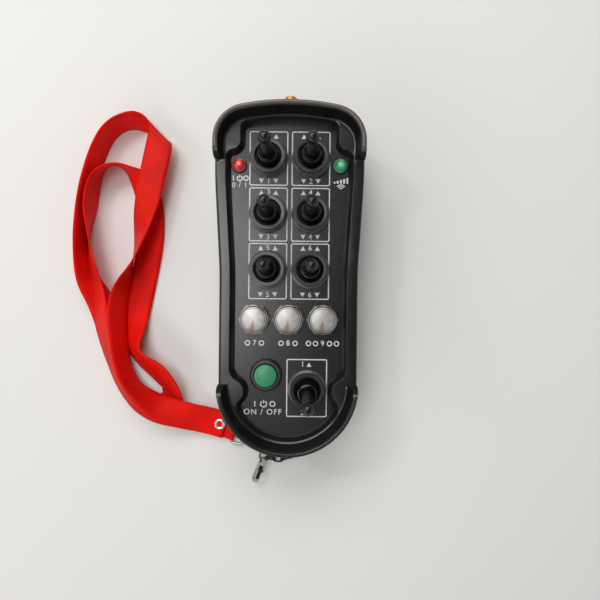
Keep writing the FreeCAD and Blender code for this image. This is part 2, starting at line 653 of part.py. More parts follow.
def boot_sleeve(at):
    """Upper part of the boot that moves with the lever: bell, neck and ball."""
    neck_r = 2.0
    neck_top = BALL_Z - math.sqrt(BALL_R ** 2 - neck_r ** 2)
    bore_r = LEVER_R + 0.05
    bell_r = PIVOT_BALL_R + 0.3
    return turned((bell_r, 39.5), (4.9, 39.5), ((5.0, 41.3), (4.85, 43.6)), ((4.6, 45.3), (3.8, 45.9)),
                  ((3.1, 46.6), (2.75, 48.0)), (neck_r, neck_top), ((BALL_R, BALL_Z), (0, BALL_Z + BALL_R)),
                  (0, LEVER_TOP + 0.1), (bore_r, LEVER_TOP + 0.1), (bore_r, 42.4), (bell_r, 41.0), at=at)


def toggle_lever(at):
    """Steel lever inside the sleeve, with its pivot ball and cross pin."""
    rod = disc(LEVER_R, PIVOT_Z - 2, LEVER_TOP, at)
    pivot = V(at[0], at[1], PIVOT_Z)
    pin_end = pivot - V(PIVOT_PIN_HALF, 0, 0)
    pin = Part.makeCylinder(PIVOT_PIN_R, 2 * PIVOT_PIN_HALF, pin_end, V(1, 0, 0))
    return rod.multiFuse([Part.makeSphere(PIVOT_BALL_R, pivot), pin])


def thrown(shape, at):
    """Lever parts tipped about their pivot towards the tail end."""
    shape.rotate(V(at[0], at[1], PIVOT_Z), V(1, 0, 0), MODE_THROW)
    return shape


# Push buttons and lamps

def button_nut(at):
    """Hexagon nut on the face, under the bezel."""
    nut = hexagon(BEZEL_NUT_FLATS, FACE_Z, BEZEL_NUT_TOP, at)
    return nut.cut(disc(BUSH_R + 0.05, 0, 50, at))


def button_barrel(at):
    """Threaded barrel through the face, with a bezel round the well of its cap."""
    foot = BEZEL_NUT_TOP + 0.05
    return turned((3.1, 24), (3.1, 37.9), (6.65, 37.9), (6.65, 39.3), (6.85, 39.5), (7.0, 39.5),
                  ((7.35, 39.1), (7.45, 38.3)), (7.45, foot), (BUSH_R, foot), (BUSH_R, BOARD_TOP + 0.6),
                  (0, BOARD_TOP + 0.6), (0, 24), at=at)


def button_cap(at):
    """Spun metal cap with a plunger under it."""
    return turned((0, 28), (2.8, 28), (2.8, 39.7), (6.4, 39.7), (6.4, 40.9), ((6.25, 41.25), (5.9, 41.4)),
                  dome(5.9, 41.4, 41.85), at=at)


def power_button_body(at):
    return turned((5.0, 24), (5.0, 36.4), (6.0, 36.4), (6.0, 37.9), (7.05, 37.9), (7.05, 38.4), (7.4, 38.4),
                  ((7.85, 38.0), (8.0, 37.2)), (8.0, FACE_Z), (BUSH_R, FACE_Z), (BUSH_R, BOARD_TOP + 0.6),
                  (0, BOARD_TOP + 0.6), (0, 24), at=at)


def power_button_trim(at):
    return turned((6.05, 37.9), (7.0, 37.9), (7.0, 38.6), ((6.5, 38.85), (6.05, 38.7)), at=at)


def power_button_cap(at):
    return turned((0, 28), (4.7, 28), (4.7, 39.0), (5.75, 39.0), (5.75, 40.9), ((5.6, 41.4), (5.1, 41.6)),
                  dome(5.1, 41.6, 41.8), at=at)


def led_holder(at):
    """Clip in the face with a slim ring round the foot of the lens."""
    return turned((2.6, 32), (2.95, 32), (2.95, FACE_Z), (3.9, FACE_Z), ((3.85, 36.5), (3.65, 36.6)),
                  (3.5, 36.6), (3.5, 36.05), (2.6, 36.05), at=at)


def led(at):
    """Lamp with a domed lens that is wider than its foot, and two legs."""
    lens = turned((0, 31.5), (2.5, 31.5), (2.5, 36.1), (3.45, 36.1), (3.45, 37.0), dome(3.45, 37.0, 39.6),
                  at=at)
    legs = [block(0.25, 0.25, BOARD_TOP, 31.8, (at[0] + side * 1.27, at[1])) for side in (1, -1)]
    return lens.multiFuse(legs)


# Lanyard: ribbon, folded tab, eyelet, ring, chain and clasp

RIBBON_SIDE = UP.cross(RIBBON_WAY)
RING_MID = V(EYELET_AT[0], EYELET_AT[1], RING_Z) + RIBBON_WAY * RING_FROM_EYELET


def ribbon_corners(before, here, after):
    """Corners of the ribbon's section at one point of its route."""
    way = (V(*after[:3]) - V(*before[:3])).normalize()
    heading = math.radians(here[3])
    rise = math.radians(here[4])
    across = V(math.cos(heading) * math.cos(rise), math.sin(heading) * math.cos(rise), math.sin(rise))
    half_w = across * (RIBBON_WIDTH / 2)
    half_t = way.cross(across).normalize() * (RIBBON_THICK / 2)
    right = V(*here[:3]) + half_w
    left = V(*here[:3]) - half_w
    return [right + half_t, left + half_t, left - half_t, right - half_t]


def flat(points):
    return Part.Face(Part.makePolygon(points + points[:1]))


def lanyard_ribbon():
    """Band of flat triangles between the sections of the route, closed at both ends."""
    places = RIBBON_ROUTE[:1] + RIBBON_ROUTE + RIBBON_ROUTE[-1:]
    sections = [ribbon_corners(*places[i:i + 3]) for i in range(len(RIBBON_ROUTE))]
    faces = [flat(sections[0]), flat(sections[-1])]
    for near, far in zip(sections, sections[1:]):
        for side in range(4):
            faces.append(flat([near[side - 1], near[side], far[side]]))
            faces.append(flat([near[side - 1], far[side], far[side - 1]]))
    shell = Part.makeShell(faces)
    shell.sewShape()
    band = Part.makeSolid(shell)
    if band.Volume < 0:
        band.reverse()
    return band.cut(disc(EYELET_SHANK_R + 0.05, 0, 6, EYELET_AT))


def lanyard_eyelet():
    """Rolled metal eyelet through all the layers of ribbon."""
    return turned((EYELET_BORE_R, 0.1), (EYELET_R, 0.1), (EYELET_R, 0.4), (EYELET_SHANK_R, 0.4),
                  (EYELET_SHANK_R, 3.7), (EYELET_R, 3.7),
                  ((2.5, 4.5), (EYELET_BORE_R, 3.9)), at=EYELET_AT)


def lanyard_tab():
    """Ribbon end folded round the bar of the ring and held by the eyelet."""
    wire_r = RING_WIRE_R + 0.05
    skin = 0.55
    tail = -RING_FROM_EYELET - 5.5
    near = -RING_FROM_EYELET + 3.6
    outer = wire_r + skin

    def along_bar(point):
        return RING_MID - RIBBON_SIDE * 7.2 + RIBBON_WAY * point[0] + V(0, 0, point[1])

    steps = [(near, 0.6), (0, outer), ((outer, 0), (0, -outer)), (near, -0.62), (tail, -0.62), (tail, -0.07),
             (near, -0.07), (0, -wire_r), ((wire_r, 0), (0, wire_r)), (near, 0.05), (tail, 0.05)]
    face = Part.Face(Part.Wire(run((tail, 0.6), steps + [(tail, 0.6)], along_bar)))
    strip = face.extrude(RIBBON_SIDE * 14.4)
    return strip.cut(disc(EYELET_SHANK_R + 0.05, 0, 6, EYELET_AT))


def wire_loop(edges, wire_r):
    """Closed round wire along a closed run of edges."""
    path = Part.Wire(edges)
    start = edges[0].valueAt(edges[0].FirstParameter)
    way = edges[0].tangentAt(edges[0].FirstParameter)
    section = Part.Wire(Part.makeCircle(wire_r, start, way))
    return path.makePipeShell([section], True, False)


def lanyard_ring():
    """D-shaped ring: a straight bar in the tab, two short legs and a half circle."""
    bend = RING_BEND_R

    def in_ring(point):
        return RING_MID + RIBBON_WAY * point[0] + RIBBON_SIDE * point[1]

    knee = bend * (1 - math.cos(math.pi / 4))
    half = RING_HALF
    leg = bend + RING_LEG
    steps = [(0, half - bend), ((knee, half - knee), (bend, half)), (leg, half),
             ((leg + half, 0), (leg, -half)), (bend, -half), ((knee, knee - half), (0, bend - half))]
    ring = wire_loop(run((0, bend - half), steps, in_ring), RING_WIRE_R)
    ring.rotate(RING_MID, RIBBON_SIDE, -RING_TILT)
    return ring


def round_ring(centre, axis):
    return Part.makeTorus(SMALL_RING_R, LINK_WIRE_R, centre, axis)


def jump_ring():
    """Ring that lies on its far side and rises to the eye of the clasp."""
    level = V(CLASP_WAY.x, CLASP_WAY.y, 0).normalize()
    tilt = math.radians(JUMP_RING_TILT)
    return round_ring(JUMP_RING_AT, UP * math.cos(tilt) - level * math.sin(tilt))


def ring_place(angle, reach):
    """Point beyond the half circle of the D-ring, at an angle from the ribbon's way."""
    turn = math.radians(angle)
    out = RIBBON_WAY * math.cos(turn) + RIBBON_SIDE * math.sin(turn)
    along = RING_BEND_R + RING_LEG + (RING_HALF + reach) * math.cos(turn)
    aside = (RING_HALF + reach) * math.sin(turn)
    height = along * math.tan(math.radians(RING_TILT))
    return RING_MID + RIBBON_WAY * along + RIBBON_SIDE * aside + V(0, 0, height), out


def chain_link(middle, heading, climb, roll):
    """Oval link along its heading, rolled about it."""
    straight = LINK_INNER / 2 - LINK_INNER_HALF
    half = LINK_INNER_HALF + LINK_WIRE_R
    steps = [(straight, -half), ((straight + half, 0), (straight, half)), (-straight, half),
             ((-straight - half, 0), (-straight, -half))]
    link = wire_loop(run((-straight, -half), steps, lambda p: V(p[0], p[1], 0)), LINK_WIRE_R)
    link.rotate(V(0, 0, 0), V(1, 0, 0), roll)
    link.rotate(V(0, 0, 0), V(0, 1, 0), -climb)
    link.rotate(V(0, 0, 0), UP, heading)
    link.translate(middle)
    return link


def tether_chain():
    """Links laid joint to joint, each rolled the other way from the last."""
    links = []
    joint = CHAIN_START
    for number, (heading, climb) in enumerate(zip(CHAIN_HEADINGS, CHAIN_CLIMBS)):
        turn = math.radians(heading)
        rise = math.radians(climb)
        level = V(math.cos(turn), math.sin(turn), 0) * math.cos(rise)
        step = (level + UP * math.sin(rise)) * LINK_PITCH
        roll = -45 if number % 2 else 45
        links.append(chain_link(joint + step * 0.5, heading, climb, roll))
        joint = joint + step
    return links


CLASP_LEVEL = UP.cross(CLASP_WAY).normalize()
CLASP_ACROSS = CLASP_LEVEL * math.cos(CLASP_ROLL) + CLASP_WAY.cross(CLASP_LEVEL) * math.sin(CLASP_ROLL)
CLASP_NORMAL = CLASP_WAY.cross(CLASP_ACROSS)


def in_clasp(point):
    """Point of the clasp's own flat pattern, along and across it."""
    return CLASP_AT + CLASP_WAY * point[0] + CLASP_ACROSS * point[1] - CLASP_NORMAL * (CLASP_THICK / 2)


def clasp_plate(start, *steps):
    face = Part.Face(Part.Wire(run(start, steps + (start,), in_clasp)))
    return face.extrude(CLASP_NORMAL * CLASP_THICK)


def clasp_disc(at, radius):
    ring = Part.Wire(Part.makeCircle(radius, in_clasp(at), CLASP_NORMAL))
    return Part.Face(ring).extrude(CLASP_NORMAL * CLASP_THICK)


def clasp_body():
    """Slim hook with an eye at one end, open along the side that the gate closes."""
    eye = CLASP_EYE_R
    belly = CLASP_BELLY_R
    mid = CLASP_BELLY_AT
    hook = clasp_plate((eye, eye), (mid - 5, 2.45), (mid, belly), ((mid + belly, 0), (mid, -belly)),
                       (mid - 5, -2.45), (eye, -eye))
    hook = hook.fuse(clasp_disc((eye, 0), eye))
    throat = clasp_plate((7.4, 1.15), (mid, 1.35), ((mid + 1.35, 0), (mid, -1.35)), (7.4, -1.15))
    gap = clasp_plate((4.5, 0.2), (7.4, 0.2), (7.4, 0), (mid + 0.2, 0), (mid + 0.6, 3.6), (4.5, 3.6))
    return hook.cut([throat, gap, clasp_disc((eye, 0), eye - 0.6)])


def clasp_gate():
    """Sprung gate with a thumb knob, on a pivot pin near the eye."""
    tip = CLASP_BELLY_AT - 0.2
    bar = clasp_plate((4.8, 0.95), (7.1, 0.95), (7.4, 1.45), (tip, 1.55), (tip + 0.3, 2.45), (6.4, 2.3),
                      (4.8, 2.0))
    middle = CLASP_NORMAL * (CLASP_THICK / 2)
    knob = Part.makeCylinder(0.8, 1.6, in_clasp((7.0, 2.1)) + middle, CLASP_ACROSS)
    pin_half = CLASP_THICK / 2 + 0.25
    pin_end = in_clasp(GATE_PIVOT) + middle - CLASP_NORMAL * pin_half
    pin = Part.makeCylinder(0.6, 2 * pin_half, pin_end, CLASP_NORMAL)
    return bar.multiFuse([knob, pin])


def main():
    os.makedirs("parts", exist_ok=True)
    save("front_shell", front_shell())
    save("rear_shell", rear_shell())
    save("shell_seal", shell_seal())
    save("face_overlay", face_overlay())
    save("battery_door", battery_door())
    save("door_seal", door_seal())
    save("door_screws", *door_screws())
    save("case_screws", *case_screws())
    save("main_board", main_board())
    save("radio_module", radio_module())
    save("antenna_socket", antenna_socket())
    save("antenna_nut", antenna_nut())
    save("antenna_lead", antenna_lead())
    save("battery_cells", *battery_cells())
    save("battery_contacts", *battery_contacts())
    save("toggle_bodies", *toggle_bodies())
    save("panel_nuts", *panel_nuts())
    for number, at in enumerate(toggle_places()[:-1], 1):
        save("boot_base_%d" % number, boot_base(at))
        save("boot_sleeve_%d" % number, boot_sleeve(at))
        save("toggle_lever_%d" % number, toggle_lever(at))
    save("mode_boot_base", boot_base(MODE_AT))
    save("mode_boot_sleeve", thrown(boot_sleeve(MODE_AT), MODE_AT))
    save("mode_lever", thrown(toggle_lever(MODE_AT), MODE_AT))
    for name, at in zip(("left", "middle", "right"), push_places()):
        save("button_cap_" + name, button_cap(at))
    save("button_barrels", *[button_barrel(at) for at in push_places()])
    save("button_nuts", *[button_nut(at) for at in push_places()])
    save("power_button_body", power_button_body(POWER_AT))
    save("power_button_trim", power_button_trim(POWER_AT))
    save("power_button_cap", power_button_cap(POWER_AT))
    save("led_holders", *[led_holder(at) for at in both_sides(*LED_AT)])
    save("signal_led", led(LED_AT))
    save("power_led", led((-LED_AT[0], LED_AT[1])))
    save("lanyard_ribbon", lanyard_ribbon())
    save("lanyard_eyelet", lanyard_eyelet())
    save("lanyard_tab", lanyard_tab())
    save("lanyard_ring", lanyard_ring())
    eye_ring, out = ring_place(EYE_RING_ANGLE, SMALL_RING_OUT)
    save("eye_ring", round_ring(eye_ring, out.cross(UP)))
    chain_ring, out = ring_place(CHAIN_RING_ANGLE, SMALL_RING_OUT)
    save("chain_ring", round_ring(chain_ring, out.cross(UP)))
    save("tether_chain", *tether_chain())
    save("jump_ring", jump_ring())
    save("clasp_body", clasp_body())
    save("clasp_gate", clasp_gate())


main()
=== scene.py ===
# %% [markdown]
# # Dressing a handheld remote control
# The solids of the remote arrive as a fixed frame: every piece is already where it belongs, in metres.
# This script gives them their finish, piece by piece. Before each step, a cell says what the piece is on
# the real object, how it could be made and why it is made this way.

# %% Load the frame
import json
import math

import bmesh
import bpy
from mathutils import Matrix, Vector


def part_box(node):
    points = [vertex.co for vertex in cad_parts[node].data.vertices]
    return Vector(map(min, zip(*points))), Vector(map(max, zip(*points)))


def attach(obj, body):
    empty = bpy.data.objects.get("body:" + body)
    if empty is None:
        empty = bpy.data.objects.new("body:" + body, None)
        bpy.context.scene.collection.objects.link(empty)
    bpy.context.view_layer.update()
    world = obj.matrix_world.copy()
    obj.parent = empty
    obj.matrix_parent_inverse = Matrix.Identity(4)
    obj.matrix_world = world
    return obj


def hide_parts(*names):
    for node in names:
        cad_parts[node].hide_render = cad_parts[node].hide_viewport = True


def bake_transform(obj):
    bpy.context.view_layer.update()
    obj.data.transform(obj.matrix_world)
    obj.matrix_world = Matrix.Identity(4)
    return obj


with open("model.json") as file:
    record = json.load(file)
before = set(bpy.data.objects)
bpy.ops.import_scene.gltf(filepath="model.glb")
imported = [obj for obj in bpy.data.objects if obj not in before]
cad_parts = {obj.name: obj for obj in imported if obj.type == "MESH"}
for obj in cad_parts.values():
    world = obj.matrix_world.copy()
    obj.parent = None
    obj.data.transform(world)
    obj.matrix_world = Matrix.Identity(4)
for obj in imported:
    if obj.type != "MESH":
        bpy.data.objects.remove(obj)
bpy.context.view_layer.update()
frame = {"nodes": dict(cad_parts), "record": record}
nodes = frame["nodes"]
body_of = {node: body for body, members in frame["record"]["behaviour"]["bodies"].items() for node in members}
MM = 0.001

# %% [markdown]
# ## The camera
# The photograph looks straight down from about a quarter of a metre, so tall levers lean away from the
# middle of the picture. A camera far above, with a long lens, would show them upright. One at the same
# height, with the same lens and a small roll, gives the same leans.

# %% Camera
PHOTO_PX = 600
LENS_PX = 451.0
SENSOR_MM = 36.0
EYE_MM = (5.75, -14.6, 261.5)
ROLL = math.radians(0.6)

camera_data = bpy.data.cameras.new("photo_camera")
camera_data.sensor_width = SENSOR_MM
camera_data.lens = SENSOR_MM * LENS_PX / PHOTO_PX
camera = bpy.data.objects.new("photo_camera", camera_data)
camera.location = Vector(EYE_MM) * MM
camera.rotation_euler = (0, 0, ROLL)
bpy.context.scene.collection.objects.link(camera)
bpy.context.scene.camera = camera
print("lens", round(camera_data.lens, 2), "mm")

# %% [markdown]
# ## Lamps
# A soft window on the head's side gives most of the light. The flat face mirrors a patch of bright
# ceiling, overhead on the left, and a faint one further down. A low wide lamp on the left lights the thin
# edges that lean towards it, and a small one higher up makes the bright spots on the lever tips. One big
# lamp would be simpler, but dark glossy plastic shows what it mirrors, so each patch of light is a lamp
# of its own.

# %% Lamps
def soft_lamp(name, place, width, height, watts):
    """Oblong lamp that looks at the origin."""
    lamp = bpy.data.lights.new(name, "AREA")
    lamp.shape = "RECTANGLE"
    lamp.size = width
    lamp.size_y = height
    lamp.energy = watts
    obj = bpy.data.objects.new(name, lamp)
    obj.location = place
    obj.rotation_euler = (-Vector(place)).to_track_quat("-Z", "Y").to_euler()
    bpy.context.scene.collection.objects.link(obj)


soft_lamp("window", (-0.16, 0.80, 0.92), 1.0, 0.55, 7.6)
soft_lamp("ceiling", (-0.23, 0.07, 1.0), 0.52, 0.32, 2.2)
soft_lamp("far_ceiling", (-0.10, -0.32, 1.0), 0.4, 0.25, 0.17)
soft_lamp("side", (-0.70, -0.50, 0.50), 1.5, 0.15, 2.4)
soft_lamp("lamp", (-0.55, 0.36, 0.80), 0.12, 0.12, 1.2)

# %% [markdown]
# ## Nodes as maths
# The room's light and every finish are node trees. Nodes can be wired one at a time, but then their maths
# is hard to read. So a small class wraps a socket: adding or multiplying two of them adds the Math node
# that does it. Its reflected forms let a plain number stand first, as in 1 - mask.

# %% Fields
class Field:
    """A value that changes from place to place. Maths on it adds nodes."""

    def __init__(self, tree, socket):
        self.tree = tree
        self.socket = socket

    def maths(self, operation, *values):
        return self.tree.node("Math", {"operation": operation}, dict(enumerate(values)))

    def __add__(self, other):
        return self.maths("ADD", self, other)

    __radd__ = __add__

    def __sub__(self, other):
        return self.maths("SUBTRACT", self, other)

    def __rsub__(self, other):
        return self.maths("SUBTRACT", other, self)

    def __mul__(self, other):
        return self.maths("MULTIPLY", self, other)

    __rmul__ = __mul__

    def __pow__(self, other):
        return self.maths("POWER", self, other)

    def sine(self):
        return self.maths("SINE", self)

    def cosine(self):
        return self.maths("COSINE", self)

    def mapped(self, low, high, first=0.0, last=1.0):
        """Goes from first to last while the value goes from low to high, and stays there outside."""
        limits = {"From Min": low, "From Max": high, "To Min": first, "To Max": last}
        return self.tree.node("MapRange", {"clamp": True}, {"Value": self, **limits})


print("a field knows + - * ** sine cosine mapped")

# %% [markdown]
# ## Adding nodes
# Maths alone is not enough: a tree also needs noise, ramps and coordinates. Each kind could have a
# function of its own. Here all of them come from one method, which takes the node's type, its settings
# and what its sockets get, so a new kind of node needs no new code.

# %% Node trees
class Tree:
    """A node tree, and the one way to add a node to it."""

    def __init__(self, owner):
        owner.use_nodes = True
        self.links = owner.node_tree.links
        self.nodes = owner.node_tree.nodes

    def node(self, kind, settings=None, sockets=None, output=0):
        node = self.nodes.new("ShaderNode" + kind)
        for key, value in (settings or {}).items():
            if key == "stops":
                for element, (position, colour) in zip(node.color_ramp.elements, value):
                    element.position = position
                    element.color = (*colour, 1)
            else:
                setattr(node, key, value)
        for key, value in (sockets or {}).items():
            self.join(value, node.inputs[key])
        return Field(self, node.outputs[output])

    def join(self, value, socket):
        if isinstance(value, Field):
            self.links.new(value.socket, socket)
        elif socket.type == "RGBA":
            socket.default_value = (*value, 1)
        else:
            socket.default_value = value

    def part(self, vector, axis):
        return self.node("SeparateXYZ", {}, {0: vector}, axis)


# %% [markdown]
# ## The room
# The world stands for pale walls all round. A plain grey world would put a veil over the dark face, so
# this one fades to dark overhead, and to a third on the window's side, where the lamp is the light.
# Together with the lamps it lights the table at about one, so that a colour renders about as it is
# written.

# %% Room
WALL_LIGHT = 0.66
OVERHEAD_LIGHT = 0.02
WINDOW_SIDE = 0.3

world = bpy.data.worlds.new("room")
bpy.context.scene.world = world
room = Tree(world)
direction = room.node("TexCoord", output="Generated")
walls = room.part(direction, "Z").mapped(0.5, 0.85, WALL_LIGHT, OVERHEAD_LIGHT)
side = room.part(direction, "Y").mapped(0.25, 0.75, 1.0, WINDOW_SIDE)
background = room.nodes["Background"]
room.join((1.0, 0.99, 0.97), background.inputs["Color"])
room.join(walls * side, background.inputs["Strength"])
bpy.context.scene.view_settings.view_transform = "Standard"
print("room light", WALL_LIGHT, "from the walls")

# %% [markdown]
# ## A finish
# A finish is one material. What is the same all over is set on its shader. What varies comes from noise
# on the object's own coordinates, so that the pattern stays on the piece when it moves: a ramp turns it
# into colours, a blend lays one colour over another, and a bump makes grain that is too fine to model.

# %% Finish helpers
class Finish(Tree):
    """One material: its shader, and the nodes that vary it."""

    def __init__(self, name, constants=None):
        self.material = bpy.data.materials.new(name)
        super().__init__(self.material)
        self.shader = self.nodes["Principled BSDF"]
        self.place = self.node("TexCoord", output="Object")
        for socket, value in (constants or {}).items():
            self.set(socket, value)

    def set(self, socket, value):
        self.join(value, self.shader.inputs[socket])

    def noise(self, scale, detail=2.0):
        return self.node("TexNoise", {}, {"Vector": self.place, "Scale": scale, "Detail": detail})

    def ramp(self, factor, *stops):
        return self.node("ValToRGB", {"stops": stops}, {"Fac": factor})

    def blend(self, factor, first, second):
        """Mixes two colours, which are sockets 6 and 7 of the Mix node."""
        return self.node("Mix", {"data_type": "RGBA"}, {0: factor, 6: first, 7: second}, output=2)

    def bump(self, height, distance, strength):
        relief = {"Height": height, "Distance": distance, "Strength": strength}
        self.set("Normal", self.node("Bump", {}, relief))


def tone(colour, factor):
    return tuple(c * factor for c in colour)


# %% [markdown]
# ## The table
# A plain pale table top, which is a stage piece and not part of the object. One square is enough. Its
# colour varies slowly, so that it isn't dead flat, and it is matt, so that it takes the shadow and
# mirrors nothing.

# %% Table
TABLE_HALF = 1.5

table = Finish("pale_table", {"Roughness": 0.8, "Specular IOR Level": 0.2})
pale = table.ramp(table.noise(4.0), (0.3, (0.80, 0.79, 0.765)), (0.7, (0.815, 0.805, 0.78)))
table.set("Base Color", pale)
bm = bmesh.new()
bmesh.ops.create_grid(bm, x_segments=1, y_segments=1, size=TABLE_HALF)
mesh = bpy.data.meshes.new("table")
bm.to_mesh(mesh)
bm.free()
mesh.materials.append(table.material)
table_top = bpy.data.objects.new("table", mesh)
bpy.context.scene.collection.objects.link(table_top)
print("table", 2 * TABLE_HALF, "m wide")

# %% [markdown]
# ## Pieces and skins
# A piece is a finished bmesh, made an object at the origin. It rides on its body and hides the solids
# that it stands for. Edges sharper than a given angle stay crisp, the rest is shaded smooth. A skin is
# such a copy of a solid. The solid could be shown as it is, but its loose triangles shade flat. The copy
# is merged, and its normals are weighted by area, so that a flat face stays flat up to its fillet.

# %% Piece helpers
MERGE = 1e-6


def piece(name, bm, finish, body, replaced=(), crisp=35):
    mesh = bpy.data.meshes.new(name)
    bm.to_mesh(mesh)
    bm.free()
    mesh.shade_smooth()
    mesh.set_sharp_from_angle(angle=math.radians(crisp))
    mesh.materials.append(finish.material)
    obj = bpy.data.objects.new(name, mesh)
    bpy.context.scene.collection.objects.link(obj)
    if body:
        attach(obj, body)
    if replaced:
        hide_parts(*replaced)
    return obj


def skin(node, finish, crisp=35):
    """Smooth copy of a solid, merged from its loose triangles."""
    bm = bmesh.new()
    bm.from_mesh(nodes[node].data)
    bmesh.ops.remove_doubles(bm, verts=bm.verts, dist=MERGE)
    obj = piece(node + "_skin", bm, finish, body_of[node], [node], crisp)
    even = obj.modifiers.new("even", "WEIGHTED_NORMAL")
    even.mode = "FACE_AREA"
    even.keep_sharp = True
    print(obj.name, len(obj.data.polygons), "faces in", finish.material.name)


print("points within", MERGE / MM, "mm are merged")

# %% [markdown]
# ## Charcoal shell
# The two halves of the case and the battery door are moulded plastic with a fine spark-eroded grain. The
# grain is a bump far smaller than a millimetre, and a slow cloud varies the gloss a little, as handling
# does. The guards' crests are painted lighter, most of all at the head: a painted highlight. Down in the
# recess, on the guards' walls and on the tail's crest, a matt shader with a darker colour is mixed in: a
# duller plastic, and painted shade. Both follow the height and the length of the case, so masks made from
# those place them: one blends the colour, one mixes in the matt shader.

# %% Shell
FACE_Z = 35.0
RAIL_Z = 40.0
CREST_Z = 48.0
HEAD_Y = 40.0
TAIL_Y = -95.0


def shell_finish():
    f = Finish("charcoal_shell", {"Specular IOR Level": 0.75})
    cloud = f.noise(35.0, 3.0)
    grain = f.noise(2400.0)
    height = f.part(f.place, "Z") * (1 / MM)
    length = f.part(f.place, "Y") * (1 / MM)
    # Painted highlight: the crests' top is lighter, more so towards the head.
    crest_highlight = height.mapped(CREST_Z - 1.6, CREST_Z - 0.9) * length.mapped(TAIL_Y, HEAD_Y, 0.08, 0.93)
    plastic = f.ramp(cloud, (0.3, (0.0056, 0.0058, 0.0060)), (0.7, (0.0072, 0.0074, 0.0076)))
    f.set("Base Color", f.blend(crest_highlight, plastic, (0.085, 0.073, 0.064)))
    below_rails = height.mapped(RAIL_Z - 0.03, RAIL_Z - 0.4)
    f.set("Roughness", cloud * 0.06 + grain * 0.04 + below_rails * 0.24 + 0.19)
    f.bump(grain, 0.04 * MM, 0.35)
    # Painted shade: a darker, matt shader on the guards' walls, in the recess and on the tail's crest.
    guard_walls = height.mapped(RAIL_Z + 0.3, RAIL_Z + 1.0) * height.mapped(CREST_Z - 1.5, CREST_Z - 2.1)
    recess = height.mapped(RAIL_Z - 0.02, RAIL_Z - 0.15) * height.mapped(FACE_Z, FACE_Z + 0.2)
    tail_crest = height.mapped(CREST_Z - 2.1, CREST_Z - 1.5) * length.mapped(-45.0, -72.0)
    matt = {"Base Color": (0.004, 0.004, 0.0045), "Roughness": 0.6, "Specular IOR Level": 0.15}
    dull_and_shade_share = guard_walls * 0.8 + recess * 0.6 + tail_crest * 0.56
    glossy = Field(f, f.shader.outputs[0])
    mixed = f.node("MixShader", {}, {0: dull_and_shade_share, 1: glossy, 2: f.node("BsdfPrincipled", {}, matt)})
    f.join(mixed, f.nodes["Material Output"].inputs["Surface"])
    return f


shell = shell_finish()
for node in ("front_shell", "rear_shell", "battery_door"):
    skin(node, shell, 30)

# %% [markdown]
# ## Face film
# A printed polyester film covers the recessed face. It could share the shell's finish, but a film is a
# touch lighter and softer in gloss than the moulding round it, with a finer grain, so it gets a finish of
# its own.

# %% Film
def film_finish():
    f = Finish("face_film", {"Specular IOR Level": 0.7})
    grain = f.noise(5200.0, 1.0)
    cloud = f.noise(50.0)
    f.set("Base Color", f.ramp(cloud, (0.3, (0.0078, 0.0082, 0.0088)), (0.7, (0.0094, 0.0098, 0.0104))))
    f.set("Roughness", grain * 0.1 + 0.21)
    f.bump(grain, 0.03 * MM, 0.3)
    return f


skin("face_overlay", film_finish(), 30)

# %% [markdown]
# ## Marks for the white print
# The print on the film is thin white ink. It could be a mask in the film's material, but drawn as flat
# sheets a few hundredths of a millimetre above the film, its edges stay sharp at any distance. All marks
# are drawn in millimetres round the origin, and then laid at their place on the case. A frame is a
# rectangle with rounded corners that is inset once and then loses its middle.

# %% Bars and frames
CASE_TO_FRAME = Vector((0, -4.4, 0))
INK_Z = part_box("face_overlay")[1][2] + 0.03 * MM
LINE = 0.55
ink = bmesh.new()


def lay(part, at):
    """Adds a part to the print at a place on the case, in millimetres."""
    place = (Vector((at[0], at[1], 0)) + CASE_TO_FRAME) * MM
    place.z = INK_Z
    bmesh.ops.scale(part, verts=part.verts, vec=(MM, MM, MM))
    bmesh.ops.translate(part, verts=part.verts, vec=place)
    sheet = bpy.data.meshes.new("mark")
    part.to_mesh(sheet)
    part.free()
    ink.from_mesh(sheet)
    bpy.data.meshes.remove(sheet)


def oblong(width, height):
    part = bmesh.new()
    bmesh.ops.create_grid(part, x_segments=1, y_segments=1, size=0.5)
    bmesh.ops.scale(part, verts=part.verts, vec=(width, height, 1))
    return part


def bar(width, height, at):
    lay(oblong(width, height), at)


def frame_line(width, height, at, corner=1.0):
    part = oblong(width, height)
    bmesh.ops.bevel(part, geom=part.verts[:], offset=corner, offset_type="OFFSET", segments=5, profile=0.5,
                    affect="VERTICES", material=-1)
    field = part.faces[:]
    bmesh.ops.inset_region(part, faces=field, thickness=LINE, use_boundary=True, use_even_offset=True)
    bmesh.ops.delete(part, geom=field, context="FACES")
    lay(part, at)


print("ink lies at", round(INK_Z / MM, 2), "mm")

# %% [markdown]
# ## Arrows and rings
# An arrow is a circle of three sides, turned over to point down. A ring could be a circle inset once, but
# an open arc could not, so both are a short line spun about a centre, all the way round or part of it.

# %% Arrows and rings
ARROW_SHIFT = 0.3
ARC_STEPS = 28


def arrow(at, up, size=1.5):
    part = bmesh.new()
    bmesh.ops.create_circle(part, cap_ends=True, segments=3, radius=size)
    bmesh.ops.rotate(part, verts=part.verts, matrix=Matrix.Rotation(0 if up else math.pi, 3, "Z"))
    lay(part, (at[0], at[1] - ARROW_SHIFT * (size if up else -size)))


def arc(at, radius, start=0, sweep=360, width=LINE):
    part = bmesh.new()
    ends = [part.verts.new((radius + side * width / 2, 0, 0)) for side in (-1, 1)]
    line = part.edges.new(ends)
    bmesh.ops.rotate(part, verts=ends, matrix=Matrix.Rotation(math.radians(start), 3, "Z"))
    bmesh.ops.spin(part, geom=ends + [line], axis=(0, 0, 1), angle=math.radians(sweep), steps=ARC_STEPS,
                   use_merge=sweep == 360)
    bmesh.ops.recalc_face_normals(part, faces=part.faces)
    lay(part, at)


print("a ring has", ARC_STEPS, "faces")

